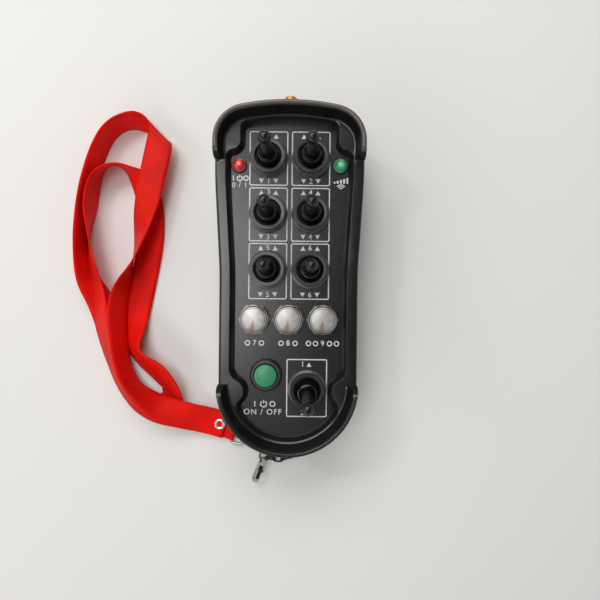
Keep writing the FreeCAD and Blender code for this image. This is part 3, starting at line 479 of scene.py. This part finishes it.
# %% [markdown]
# ## Numbers and signs
# Numbers come from Blender's own font. A text object could be laid on the film as it is, but a piece has
# to be a mesh with its place in it, so the text is made a mesh while it is still flat at the origin. The
# usual sign for power is an open ring with a bar in its gap.

# %% Numbers and signs
DIGIT = 2.7
DIGIT_SHARE = 0.72
BOLD = 0.012
POWER_GAP = 70


def words(text, at, height, spread=1.0):
    font = bpy.data.curves.new("text", "FONT")
    font.body = text
    font.size = height / DIGIT_SHARE
    font.offset = BOLD * height
    font.space_character = spread
    font.align_x = "CENTER"
    font.align_y = "CENTER"
    holder = bpy.data.objects.new("text", font)
    sheet = bpy.data.meshes.new_from_object(holder)
    part = bmesh.new()
    part.from_mesh(sheet)
    bpy.data.objects.remove(holder)
    bpy.data.curves.remove(font)
    bpy.data.meshes.remove(sheet)
    lay(part, at)


def on_off(at, radius):
    arc(at, radius, 90 + POWER_GAP / 2, 360 - POWER_GAP)
    bar(LINE, radius * 1.1, (at[0], at[1] + radius * 0.75))


print("digits", DIGIT, "mm high, from a font of", round(DIGIT / DIGIT_SHARE, 2), "mm")

# %% [markdown]
# ## Laying out the print
# Each toggle has a frame with its number, between arrows that point the way of the throw. The push
# buttons have numbers between rings. The rows could be typed out one mark at a time, but they repeat, so
# loops place them from the edges of the rows and the middles of the columns.

# %% Numbered frames
ROW_EDGES = ((74.0, 46.8), (45.9, 18.9), (18.1, -10.0))
COLUMN_X = 10.55
FRAME_WIDTH = 19.3
ARROW_X = 3.6
BUTTON_MARKS = ((-16.8, "7", 1), (0.0, "8", 1), (17.2, "9", 2))
BUTTON_MARKS_Y = -31.9
RING_GAP = 3.5

for row, (top, foot) in enumerate(ROW_EDGES):
    for column, x in enumerate((-COLUMN_X, COLUMN_X)):
        number = str(2 * row + column + 1)
        frame_line(FRAME_WIDTH, top - foot, (x, (top + foot) / 2))
        for y, up in ((top - 2.5, True), (foot + 2.3, False)):
            words(number, (x, y), DIGIT)
            arrow((x - ARROW_X, y), up)
            arrow((x + ARROW_X, y), up)
for x, number, rings in BUTTON_MARKS:
    words(number, (x, BUTTON_MARKS_Y), DIGIT)
    for step in range(1, rings + 1):
        arc((x - RING_GAP * step, BUTTON_MARKS_Y), 1.1)
        arc((x + RING_GAP * step, BUTTON_MARKS_Y), 1.1)
print("frames", 2 * len(ROW_EDGES))

# %% [markdown]
# ## Signs beside the lamps and the power button
# The mode toggle has a wider frame and a number for each throw. The power button and the red lamp have
# the power sign between a bar and a ring, with plain words or numbers under it. The green lamp has signal
# bars that grow by a step, over three arcs. Each stands alone, so each is placed by itself.

# %% Signs
frame_line(20.35, 29.0, (9.5, -54.2))
for y, up, number in ((-42.4, True, "1"), (-66.6, False, "2")):
    words(number, (7.4, y), 2.6)
    arrow((10.6, y), up, 1.4)
on_off((-11.9, -62.3), 1.5)
bar(LINE, 2.6, (-16.3, -62.3))
arc((-7.5, -62.3), 1.2)
words("ON / OFF", (-12.4, -66.4), 2.8, 1.2)
on_off((-25.0, 50.4), 1.25)
bar(LINE, 2.5, (-28.2, 50.4))
arc((-21.9, 50.4), 1.1)
words("0 / 1", (-25.0, 46.9), 2.5, 1.2)
for step in range(5):
    bar(0.95, 0.8 + 0.5 * step, (22.4 + 1.6 * step, 48.6 + 0.25 * step))
for step in range(1, 4):
    arc((25.6, 45.0), 0.85 * step, 40, 100, 0.45)
print("marks", len(ink.faces), "faces")

# %% [markdown]
# ## White ink
# All the marks are one sheet of ink. Pure white would look like a sticker, and ink on a film that is
# handled wears, so a fine noise makes it greyer and rougher in spots.

# %% Ink
def ink_finish():
    f = Finish("white_ink")
    wear = f.noise(900.0, 3.0)
    f.set("Base Color", f.ramp(wear, (0.25, (0.52, 0.52, 0.52)), (0.6, (0.74, 0.74, 0.73))))
    f.set("Roughness", wear * 0.2 + 0.4)
    return f


print_sheet = piece("white_print", ink, ink_finish(), "handset")
print("print", len(print_sheet.data.polygons), "faces")

# %% [markdown]
# ## Turning round pieces
# Boots, caps and buttons are round. Each could be a stack of cylinders, but a lathe is simpler and truer:
# half of the outline is drawn once as radii and heights, corners that need it are rounded, and the line
# is spun about its axis. After the spin the seam and the poles are merged, and the normals are turned
# outwards.

# %% Lathe
def lathe(profile, at, steps=72):
    """Turns a profile of (radius, height[, rounding]) in millimetres about an upright axis."""
    bm = bmesh.new()
    verts = [bm.verts.new((p[0] * MM, 0, p[1] * MM)) for p in profile]
    for pair in zip(verts, verts[1:]):
        bm.edges.new(pair)
    for vert, point in zip(verts, profile):
        if len(point) > 2:
            bmesh.ops.bevel(bm, geom=[vert], offset=point[2] * MM, offset_type="OFFSET", segments=4,
                            profile=0.5, affect="VERTICES", material=-1)
    bmesh.ops.spin(bm, geom=bm.verts[:] + bm.edges[:], cent=(0, 0, 0), axis=(0, 0, 1), angle=math.tau,
                   steps=steps, use_merge=True)
    bmesh.ops.remove_doubles(bm, verts=bm.verts, dist=MERGE / 10)
    bmesh.ops.recalc_face_normals(bm, faces=bm.faces)
    bmesh.ops.translate(bm, verts=bm.verts, vec=Vector((at[0], at[1], 0)) * MM)
    return bm


def middle_of(node):
    """Plan position of a solid's middle, in millimetres."""
    low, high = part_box(node)
    return ((low[0] + high[0]) / 2 / MM, (low[1] + high[1]) / 2 / MM)


print("first boot at", [round(c, 2) for c in middle_of("boot_base_1")], "mm")

# %% [markdown]
# ## Boot rubber
# The toggles wear black rubber boots. Clean rubber is nearly black and mirrors the lamps softly. The small
# ledges of a boot's foot are painted lighter, a painted highlight. It could be a second mesh or a painted
# mask, but the ledges follow each other at an even distance, so a wave along the height marks them all.

# %% Rubber
LEDGE_Z = 37.02
LEDGE_GAP = 1.2


def rubber_finish(name, rough, gloss, ledge_light):
    f = Finish(name, {"Specular IOR Level": gloss})
    grain = f.noise(1500.0, 3.0)
    cloud = f.noise(120.0, 3.0)
    height = f.part(f.place, "Z") * (1 / MM)
    # Painted highlight on the foot's ledges: a lighter grey along a wave in height.
    ledges = (((height - LEDGE_Z) * (math.tau / LEDGE_GAP)).cosine() * 0.5 + 0.5) ** 6
    bare_rubber = f.ramp(cloud, (0.3, (0.0045, 0.0045, 0.0050)), (0.75, (0.0070, 0.0070, 0.0075)))
    f.set("Base Color", f.blend(ledges * ledge_light, bare_rubber, (0.10, 0.10, 0.10)))
    f.set("Roughness", cloud * 0.12 + rough)
    f.bump(grain, 0.03 * MM, 0.15)
    return f


foot_rubber = rubber_finish("foot_rubber", 0.22, 0.85, 0.9)
rubber = rubber_finish("boot_rubber", 0.14, 0.45, 0.0)
print("rubber", foot_rubber.material.name, rubber.material.name)

# %% [markdown]
# ## Toggle boots
# A boot's foot is a ring over the bush: small steps and a flat top. The sleeve is a bell with a sharp
# rim, a dish, a neck and a ball, and moves with the lever. A soft fold in the dark gap joins the two. One
# mesh could be all three, but only the fold bends, so each has a profile of its own, in millimetres.

# %% Boot profiles
FOOT = [(6.1, 36.0), (9.75, 36.0), (9.75, 36.9), (9.35, 37.14), (9.3, 38.1), (9.0, 38.28), (8.95, 39.3),
        (8.65, 39.48), (8.6, 41.2), (8.35, 41.5), (6.5, 41.5, 0.3), (6.1, 40.7, 0.2), (6.1, 38.5)]
FOLD = [(6.1, 39.0), (5.5, 38.8, 0.2), (4.85, 40.0)]
SLEEVE = [(2.9, 39.5), (4.85, 39.5), (4.95, 41.6, 0.6), (4.75, 45.6, 0.12), (4.05, 46.02, 0.12),
          (3.6, 45.2, 0.3), (3.0, 45.9, 0.5), (2.7, 48.3, 0.8), (2.35, 53.5, 1.6), (2.0, 61.4, 0.5),
          (2.2, 63.0, 0.4), (2.75, 63.8, 0.4), (3.1, 65.3, 0.6), (2.7, 66.9, 0.6), (1.7, 67.95, 0.5),
          (0.8, 68.32, 0.3), (0.0, 68.4)]
print("profiles", len(FOOT), len(FOLD), len(SLEEVE), "points")

# %% [markdown]
# ## Grip ticks and leaning boots
# The foot has fine grip ticks round its wall. They could be cut out one by one, but the turned wall
# already has even steps, so every second point is pushed in a little. The mode toggle rests towards the
# tail, so its sleeve leans over, and its fold bends after it. The fold rides on no body.

# %% Boots
FOOT_STEPS = 144
TICK_WALL = 9.6
TICK_DEPTH = 0.28
PIVOT_Z = 38.0
BEND = (39.0, 40.0)
MODE_TIP = math.radians(7.0)


def tick(foot, pivot):
    """Pushes every second point of the foot's wall in."""
    for vert in foot.verts:
        arm = (vert.co - pivot).xy
        step = round(math.atan2(arm.y, arm.x) / math.tau * FOOT_STEPS)
        if arm.length > TICK_WALL * MM and step % 2:
            vert.co -= arm.normalized().to_3d() * TICK_DEPTH * MM


def tip_over(bm, pivot, angle, bend):
    """Leans the upper part of a boot over its pivot, more and more from the first height to the second."""
    for vert in bm.verts:
        share = max(0.0, min(1.0, (vert.co.z / MM - bend[0]) / (bend[1] - bend[0])))
        vert.co = pivot + Matrix.Rotation(angle * share, 3, "X") @ (vert.co - pivot)


def boot(name, base, sleeve, body, tip=0.0):
    at = middle_of(base)
    pivot = Vector((at[0], at[1], PIVOT_Z)) * MM
    foot = lathe(FOOT, at, FOOT_STEPS)
    tick(foot, pivot)
    fold = lathe(FOLD, at)
    upper = lathe(SLEEVE, at)
    tip_over(fold, pivot, tip, BEND)
    tip_over(upper, pivot, tip, (0, 1))
    piece(name + "_foot", foot, foot_rubber, "handset", [base], 40)
    piece(name + "_sleeve", upper, rubber, body, [sleeve], 40)
    soft = piece(name + "_fold", fold, rubber, None)
    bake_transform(soft)
    print(name, "on", body)


for number in range(1, 7):
    boot("boot_%d" % number, "boot_base_%d" % number, "boot_sleeve_%d" % number, "toggle_%d" % number)
boot("mode_boot", "mode_boot_base", "mode_boot_sleeve", "mode_toggle", MODE_TIP)

# %% [markdown]
# ## Spun caps
# The push buttons' caps are spun metal, so the light stands in bright wedges round their middle. An
# anisotropic shader could do that, but an exported model would lose it. Here the wedges are painted
# reflections: colours that follow the turn of the face. The piece keeps that turn in a UV map of its own:
# the angle one way, and the radius in millimetres the other.

# %% Turned caps
CAP = [(0.0, 39.7), (6.4, 39.7), (6.4, 41.0, 0.25), (5.95, 41.4, 0.2), (3.0, 41.72), (0.0, 41.85)]


def turn_map(bm, at):
    """UV map of a turned piece: turn about its axis, and radius in millimetres."""
    layer = bm.loops.layers.uv.new("turn")
    centre = Vector((at[0], at[1], 0)) * MM
    for face in bm.faces:
        middle = face.calc_center_median() - centre
        about = math.atan2(middle.y, middle.x)
        for loop in face.loops:
            arm = loop.vert.co - centre
            angle = math.atan2(arm.y, arm.x) if arm.xy.length > MERGE else about
            angle += math.tau * round((about - angle) / math.tau)
            loop[layer].uv = (angle / math.tau, arm.xy.length / MM)


caps = {}
for node in ("button_cap_left", "button_cap_middle", "button_cap_right"):
    caps[node] = lathe(CAP, middle_of(node))
    turn_map(caps[node], middle_of(node))
print("caps", [len(bm.faces) for bm in caps.values()], "faces")

# %% [markdown]
# ## Spun metal
# Each wedge is a cosine of the turn, raised to a power that makes it narrower, and blends a painted
# reflection over the bright metal: lighter and darker wedges, and a dark reddish one towards the tail.
# Fine rings are a bump along the radius, and a dark line near the rim is the groove of the turned edge. A
# picture of brushed metal could be used, but this one stays sharp and turns with the cap.

# %% Spun finish
def spun_finish():
    f = Finish("spun_cap_painted_reflections", {"Metallic": 0.6})
    turn = f.node("UVMap", {"uv_map": "turn"})
    angle = f.part(turn, "X") * math.tau
    radius = f.part(turn, "Y")

    def wedge(at, sharp, times=1):
        """Mask round an angle in degrees, or round several in one turn."""
        return ((angle * times - math.radians(at)).cosine() * 0.5 + 0.5) ** sharp

    groove = radius.mapped(5.35, 5.45) * radius.mapped(5.75, 5.65)
    colour = (0.68, 0.66, 0.635)
    # Painted reflections: light and dark wedges over the metal, then the groove's dark line.
    for mask, shade in (
            (wedge(-20, 2, 2) * 0.55, (0.58, 0.57, 0.55)),
            (wedge(180, 2) * 0.8, (0.38, 0.372, 0.355)),
            (wedge(-40, 1, 7) * 0.4, (0.40, 0.365, 0.33)),
            (wedge(65, 8) * 0.5, (0.46, 0.42, 0.38)),
            (groove, (0.10, 0.09, 0.085)),
            (wedge(-95, 30) * 0.85, (0.27, 0.15, 0.11))):
        colour = f.blend(mask, colour, shade)
    f.set("Base Color", colour)
    rings = (radius * 24.0).sine()
    f.set("Roughness", rings * 0.03 + 0.33)
    f.bump(rings, 0.01 * MM, 0.25)
    return f


spun = spun_finish()
for node, bm in caps.items():
    cap = piece(node + "_spun", bm, spun, body_of[node], [node], 30)
    print(cap.name, "on", body_of[node])

# %% [markdown]
# ## Bezels and nuts
# A polished bezel holds each cap, over a hexagon nut. Bare chrome would be a perfect mirror and look like
# a toy, so one finish serves all the metal here: a fine scuff makes the colour and the gloss uneven.

# %% Bezels
def bright_metal(name, colour, rough, metal=1.0):
    f = Finish(name, {"Metallic": metal})
    scuff = f.noise(700.0, 3.0)
    f.set("Base Color", f.ramp(scuff, (0.3, tone(colour, 0.92)), (0.7, colour)))
    f.set("Roughness", scuff * 0.12 + rough)
    return f


skin("button_barrels", bright_metal("bezel_chrome", (0.50, 0.49, 0.47), 0.12, 0.9), 30)
skin("button_nuts", bright_metal("nut_chrome", (0.24, 0.23, 0.22), 0.25, 0.9), 30)

# %% [markdown]
# ## Power button
# A smooth green cap in a dark grey ring, in a black body. The body and the ring are skins in moulded
# plastic. The cap could be one too, but its solid is flat on top, and the real one shades from its lit
# side to the other. So it is turned with a soft dome, and keeps the stem that slides in the body.

# %% Power button
GREEN_CAP = [(0.0, 28.0), (4.7, 28.0), (4.7, 39.0), (5.6, 39.0), (5.6, 40.4, 0.3), (5.0, 41.05, 0.5),
             (2.8, 41.6), (0.0, 41.8)]


def moulded(name, colour, rough, grain_scale=1800.0, gloss=0.5):
    f = Finish(name, {"Specular IOR Level": gloss})
    cloud = f.noise(90.0)
    grain = f.noise(grain_scale, 1.0)
    f.set("Base Color", f.ramp(cloud, (0.3, tone(colour, 0.93)), (0.7, colour)))
    f.set("Roughness", grain * 0.08 + rough)
    f.bump(grain, 0.02 * MM, 0.2)
    return f


skin("power_button_body", moulded("power_black", (0.010, 0.009, 0.010), 0.26), 30)
skin("power_button_trim", moulded("trim_grey", (0.06, 0.07, 0.064), 0.3), 30)
node = "power_button_cap"
green = moulded("power_green", (0.042, 0.27, 0.125), 0.3)
bm = lathe(GREEN_CAP, middle_of(node))
cap = piece("power_green_cap", bm, green, body_of[node], [node], 60)
print(cap.name, len(cap.data.polygons), "faces")

# %% [markdown]
# ## Indicator lamps
# Round lamps with clear coloured lenses, unlit. A glass lens with a cup and a chip inside would show the
# same, but it renders slowly and exports badly. Seen from above, the lens shows a bright middle, a deep
# ring round it, a pale rim and the glint of the chip. The middle and the ring are painted light and shade
# of the lens; the pale rim, a pale patch near the top and the glints are painted highlights. Each is a
# colour by the distance from a place on the plan.

# %% Lamp lenses
# Each lamp: a deep and a bright colour, the pale colour of its painted highlights, and its glints' colour.
RED = ((0.38, 0.006, 0.005), (0.78, 0.026, 0.014), (0.85, 0.26, 0.19), (1.0, 0.60, 0.45))
GREEN = ((0.022, 0.22, 0.085), (0.045, 0.42, 0.17), (0.28, 0.62, 0.40), (0.70, 1.0, 0.80))


def lens_finish(name, node, deep, bright, pale, glint):
    f = Finish(name, {"Roughness": 0.15, "Coat Weight": 0.7, "Coat Roughness": 0.04})
    at = middle_of(node)
    plan = f.node("VectorMath", {"operation": "MULTIPLY"}, {0: f.place, 1: (1, 1, 0)})

    def reach(x, y):
        """Distance from a place near the lamp's middle, all in millimetres."""
        place = Vector((at[0] + x, at[1] + y, 0)) * MM
        return f.node("VectorMath", {"operation": "DISTANCE"}, {0: plan, 1: place}, "Value") * (1 / MM)

    def spot(x, y, size):
        return reach(x, y).mapped(size, 0.0)

    # Painted light and shade of the lens, then painted highlights on the rim and near the top, then painted
    # glints.
    colour = f.blend(reach(0.2, -0.2).mapped(2.3, 1.4), deep, bright)
    colour = f.blend(reach(0.0, 0.0).mapped(2.6, 3.1) * 0.5, colour, pale)
    colour = f.blend(spot(0.4, 2.7, 1.9) * 0.8, colour, pale)
    painted_glints = spot(0.5, -0.2, 0.65) * 1.2 + spot(-0.6, -0.9, 0.5) * 0.4 + spot(1.3, 0.6, 0.5) * 0.3
    f.set("Base Color", f.blend(painted_glints.mapped(0.0, 1.0), colour, glint))
    return f


skin("power_led", lens_finish("red_lens", "power_led", *RED), 40)
skin("signal_led", lens_finish("green_lens", "signal_led", *GREEN), 40)
skin("led_holders", moulded("holder_black", (0.02, 0.02, 0.02), 0.3), 35)

# %% [markdown]
# ## The ribbon's route
# The lanyard is one limp ribbon that lies in a loop on the table. A cloth simulation could drop it there,
# but not the way that it lies in the photograph, so its route is a given list. Each point gives
# a place on the middle line in millimetres, then the heading and the rise, in degrees, of the direction
# across the ribbon there. So it can lie flat, lean or stand on an edge.

# %% Route
RIBBON_WIDTH = 15.0
ROUTE = [
    (-36.0, -82.4, 3.2, -105.5, 0), (-47.0, -79.3, 3.2, -105.5, 0), (-58.0, -76.3, 6.8, -105, 3),
    (-66.0, -73.6, 8.6, -106, 14), (-74.0, -70.2, 9.8, -112, 40), (-80.0, -65.4, 10.9, -122, 64),
    (-85.6, -60.3, 11.5, -137, 74), (-90.2, -53.0, 11.5, -150, 76), (-93.2, -44.1, 10.9, -162, 76),
    (-95.2, -34.0, 9.8, -172, 72), (-96.5, -23.0, 8.9, -178, 69), (-96.2, -13.0, 8.6, 178, 68),
    (-94.5, -5.0, 8.7, 174, 75), (-92.3, 1.0, 8.7, 170, 86), (-90.2, 6.0, 8.5, -10, 80),
    (-88.2, 11.5, 8.2, -10, 70), (-86.0, 19.0, 8.0, -10, 60), (-84.0, 28.0, 8.1, -8, 43),
    (-82.3, 37.0, 8.6, -5, 25), (-80.0, 45.5, 9.4, -2, 10), (-78.0, 54.0, 10.4, 0, 0),
    (-76.0, 62.5, 10.8, 0, 0), (-74.5, 71.0, 10.2, -4, 0), (-73.8, 77.6, 8.6, -20, 0),
    (-74.3, 83.2, 5.8, -40, -3), (-78.3, 87.2, 3.8, -52, -14), (-84.0, 89.4, 6.4, -66, -52),
    (-90.0, 89.9, 7.6, -78, -75), (-97.0, 87.9, 7.8, -72, -81), (-102.6, 83.4, 7.8, -56, -82),
    (-106.7, 76.4, 7.8, -40, -81), (-109.8, 68.6, 7.7, -28, -80), (-112.1, 61.0, 7.7, -18, -80),
    (-114.3, 53.0, 7.7, -12, -81), (-116.0, 44.0, 7.7, -8, -82), (-117.3, 34.0, 7.7, -3, -84),
    (-118.0, 24.0, 7.7, 4, -85), (-117.6, 15.0, 7.7, 10, -84), (-116.0, 5.5, 7.7, 15, -76),
    (-112.5, -3.0, 6.1, 15, -48), (-107.8, -13.0, 2.8, 15, -14), (-104.6, -25.0, 1.2, 18, 4),
    (-102.0, -36.7, 4.0, 22, 27), (-98.9, -45.8, 6.1, 30, 47), (-95.2, -55.8, 6.4, 38, 51),
    (-89.8, -64.0, 6.0, 50, 47), (-82.7, -69.9, 4.2, 62, 28), (-74.8, -72.2, 1.8, 82, 6),
    (-69.4, -70.8, 1.0, 115, 0), (-66.8, -66.6, 1.5, 150, -6), (-66.8, -61.8, 5.0, 180, -36),
    (-68.7, -57.4, 6.8, -145, -42), (-72.4, -53.0, 7.4, -130, -38), (-77.2, -49.0, 7.5, -130, -42),
    (-82.5, -45.5, 7.5, -135, -50), (-86.5, -41.5, 7.0, -146, -52), (-88.6, -36.5, 5.6, -160, -42),
    (-89.4, -30.0, 3.4, -174, -22), (-88.7, -21.0, 1.4, 175, -5), (-87.0, -12.0, 0.9, 170, 0),
    (-85.0, -2.0, 0.9, 168, 0), (-82.5, 11.0, 0.9, 170, 0), (-81.0, 21.0, 0.9, 175, 0),
    (-80.3, 31.0, 0.9, 180, 0), (-80.8, 40.0, 0.9, -172, 0), (-82.0, 47.0, 1.2, -164, -4),
    (-84.0, 53.5, 3.3, -152, -20), (-87.2, 59.0, 5.5, -160, -40), (-91.8, 63.0, 6.9, 168, -58),
    (-97.8, 65.4, 7.5, 156, -66), (-104.5, 64.3, 7.8, 148, -72), (-109.0, 59.5, 7.8, 120, -82),
    (-111.2, 53.0, 7.8, 0, -87), (-112.3, 46.0, 7.8, 0, -85), (-113.0, 38.5, 7.8, 0, -89),
    (-113.4, 31.0, 7.8, 180, -77), (-113.4, 24.0, 7.8, 176, -68), (-113.0, 17.0, 7.8, 174, -60),
    (-112.0, 10.0, 7.8, 174, -54), (-110.3, 2.5, 7.7, 175, -46), (-108.5, -5.5, 7.4, 177, -39),
    (-107.4, -13.5, 7.2, 179, -37), (-105.8, -26.0, 7.2, -174, -40), (-102.8, -37.2, 7.4, -166, -45),
    (-99.9, -46.2, 7.6, -160, -50), (-96.1, -56.5, 7.8, -152, -52), (-90.6, -65.0, 7.5, -138, -48),
    (-84.2, -70.8, 6.0, -124, -34), (-74.6, -74.4, 4.4, -112, -10), (-65.0, -76.0, 4.0, -107, 0),
    (-56.0, -77.8, 2.3, -105, 0), (-47.0, -80.0, 0.9, -105, 0), (-36.0, -82.6, 0.9, -105, 0)]


def ribbon_across(heading, rise):
    heading, rise = math.radians(heading), math.radians(rise)
    flat = Vector((math.cos(heading), math.sin(heading), 0)) * math.cos(rise)
    return flat + Vector((0, 0, math.sin(rise)))


middles = [(Vector(p[:3]) + CASE_TO_FRAME) * MM for p in ROUTE]
halves = [ribbon_across(*p[3:]) * (RIBBON_WIDTH / 2 * MM) for p in ROUTE]
print("route", len(ROUTE), "points")

# %% [markdown]
# ## The ribbon's rails
# Straight runs between the points would look like folded card. So the route's points are the control
# points of a NURBS line, which passes smoothly near them, and Blender gives the points along it. Two more
# lines, one for each edge, are the rails that the ribbon is stretched between.

# %% Rails
def spline_points(points):
    """Points along the smooth NURBS line of these control points."""
    curve = bpy.data.curves.new("rail", "CURVE")
    curve.dimensions = "3D"
    spline = curve.splines.new("NURBS")
    spline.points.add(len(points) - 1)
    for control, point in zip(spline.points, points):
        control.co = (*point, 1)
    spline.order_u = 3
    spline.use_endpoint_u = True
    spline.resolution_u = 8
    holder = bpy.data.objects.new("rail", curve)
    bpy.context.scene.collection.objects.link(holder)
    line = bpy.data.meshes.new_from_object(holder)
    found = [v.co.copy() for v in line.vertices]
    bpy.data.objects.remove(holder)
    bpy.data.curves.remove(curve)
    bpy.data.meshes.remove(line)
    return found


ribbon_line = spline_points(middles)
left_rail = spline_points([m - h for m, h in zip(middles, halves)])
right_rail = spline_points([m + h for m, h in zip(middles, halves)])
run = [0.0]
for near, far in zip(ribbon_line, ribbon_line[1:]):
    run.append(run[-1] + (far - near).length / MM)

# %% [markdown]
# ## The ribbon's sheet
# A bridge between the rails is the ribbon's middle sheet. It could stay one face wide, but it is cut
# lengthwise into strips, so that it twists softly. A UV map keeps the side and the distance along the
# ribbon in millimetres, because a weave follows the cloth and not the room.

# %% Ribbon sheet
CUTS_ACROSS = 5
stations = len(ribbon_line)

bm = bmesh.new()
rails = []
for rail in (left_rail, right_rail):
    verts = [bm.verts.new(p) for p in rail]
    rails += [bm.edges.new(pair) for pair in zip(verts, verts[1:])]
bm.verts.index_update()
bmesh.ops.bridge_loops(bm, edges=rails)
weave = bm.loops.layers.uv.new("weave")
for face in bm.faces:
    for loop in face.loops:
        side, station = divmod(loop.vert.index, stations)
        loop[weave].uv = (side, run[station])
rungs = [e for e in bm.edges if abs(e.verts[0].index - e.verts[1].index) == stations]
bmesh.ops.subdivide_edges(bm, edges=rungs, cuts=CUTS_ACROSS, use_grid_fill=True)
print("sheet", len(bm.faces), "faces")

# %% [markdown]
# ## Red ribbon
# The ribbon is woven with fine ribs across its width. Real threads would be millions of faces, so the
# ribs are a wave along the UV map, in the colour, the gloss and a bump. A slow noise in the colour is a
# painted sheen, the uneven sheen of satin. A Solidify modifier gives the sheet its thickness. The two
# sides of the sheet get two finishes, one a lighter red than the other.

# %% Ribbon
RIB_PITCH = 0.8
RIBBON_THICK = 0.8


def ribbon_finish(name, colour, rough):
    f = Finish(name, {"Specular IOR Level": 0.08})
    along = f.part(f.node("UVMap", {"uv_map": "weave"}), "Y")
    ribs = (along * (math.tau / RIB_PITCH)).sine() * 0.5 + 0.5
    # Painted sheen: a slow noise makes the red lighter and darker.
    sheen = f.noise(48.0)
    painted_sheen = f.ramp(sheen, (0.34, tone(colour, 0.78)), (0.66, tone(colour, 1.06)))
    f.set("Base Color", f.blend(ribs * 0.3, painted_sheen, tone(colour, 0.55)))
    f.set("Roughness", ribs * 0.1 + rough)
    f.bump(ribs, 0.12 * MM, 0.6)
    return f


satin = ribbon_finish("ribbon_satin", (0.94, 0.011, 0.006), 0.40)
back = ribbon_finish("ribbon_back", (0.76, 0.015, 0.009), 0.42)
ribbon = piece("lanyard_red_ribbon", bm, satin, "handset", ["lanyard_ribbon"], 60)
ribbon.data.materials.append(back.material)
thick = ribbon.modifiers.new("thickness", "SOLIDIFY")
thick.thickness = RIBBON_THICK * MM
thick.offset = 0.0
thick.material_offset = 1
print(ribbon.name, [m.name for m in ribbon.data.materials])

# %% [markdown]
# ## Lanyard metal and the folded tab
# The tab is the same ribbon, sewn round its ring. Its eyelet is bright and the ring's plating is worn.
# The chain is black. The clasp's body is light steel and its gate black, painted light and painted shade
# of one clasp. The small ring above it has gone
# brown. These solids have their full shape, so skins with the right metal are enough.

# %% Lanyard hardware
skin("lanyard_tab", moulded("tab_cloth", (0.74, 0.008, 0.005), 0.6, 900.0, 0.08), 40)
skin("lanyard_eyelet", bright_metal("bright_plate", (0.86, 0.85, 0.83), 0.14, 0.8), 40)
skin("lanyard_ring", bright_metal("worn_plate", (0.46, 0.44, 0.40), 0.3, 0.9), 40)
black_plate_and_shade = bright_metal("black_plate_and_shade", (0.035, 0.034, 0.033), 0.3)
for node in ("tether_chain", "chain_ring", "eye_ring"):
    skin(node, black_plate_and_shade, 60)
skin("jump_ring", bright_metal("old_bronze", (0.12, 0.095, 0.075), 0.2, 0.9))
# Painted light and shade on the clasp: a light steel body and a black gate.
skin("clasp_body", bright_metal("clasp_lit_steel", (0.50, 0.49, 0.47), 0.16))
skin("clasp_gate", black_plate_and_shade)

# %% [markdown]
# ## Antenna socket
# The coaxial socket at the head is gold plated, a little dull from plugging and unplugging. Gold is a
# metal with a warm colour of its own, so the same scuffed metal serves, with a darker yellow than one
# would think: what it mirrors makes it bright.

# %% Socket
gold = bright_metal("gold_plate", (0.56, 0.29, 0.085), 0.38, 0.8)
for node in ("antenna_socket", "antenna_nut"):
    skin(node, gold, 30)

# %% [markdown]
# ## Parts inside
# The parts inside the closed case are hardly seen. They could be left grey, but the model comes apart, so
# each has the finish that it has on a bench. Their solids stay as they are and only change material.

# %% Inner parts
zinc = bright_metal("zinc_plate", (0.58, 0.58, 0.57), 0.3)
inside = {
    "door_screws": zinc, "case_screws": zinc, "panel_nuts": zinc, "battery_contacts": zinc,
    "shell_seal": rubber, "door_seal": rubber, "antenna_lead": rubber,
    "main_board": moulded("board_green", (0.015, 0.12, 0.05), 0.4),
    "radio_module": bright_metal("radio_can", (0.7, 0.7, 0.69), 0.35),
    "battery_cells": moulded("cell_sleeve", (0.05, 0.055, 0.065), 0.35),
    "toggle_bodies": moulded("switch_case", (0.02, 0.02, 0.022), 0.35),
    "mode_lever": zinc}
inside.update({"toggle_lever_%d" % number: zinc for number in range(1, 7)})
for node, finish in inside.items():
    nodes[node].data.materials.clear()
    nodes[node].data.materials.append(finish.material)
print("inside", len(inside), "solids")
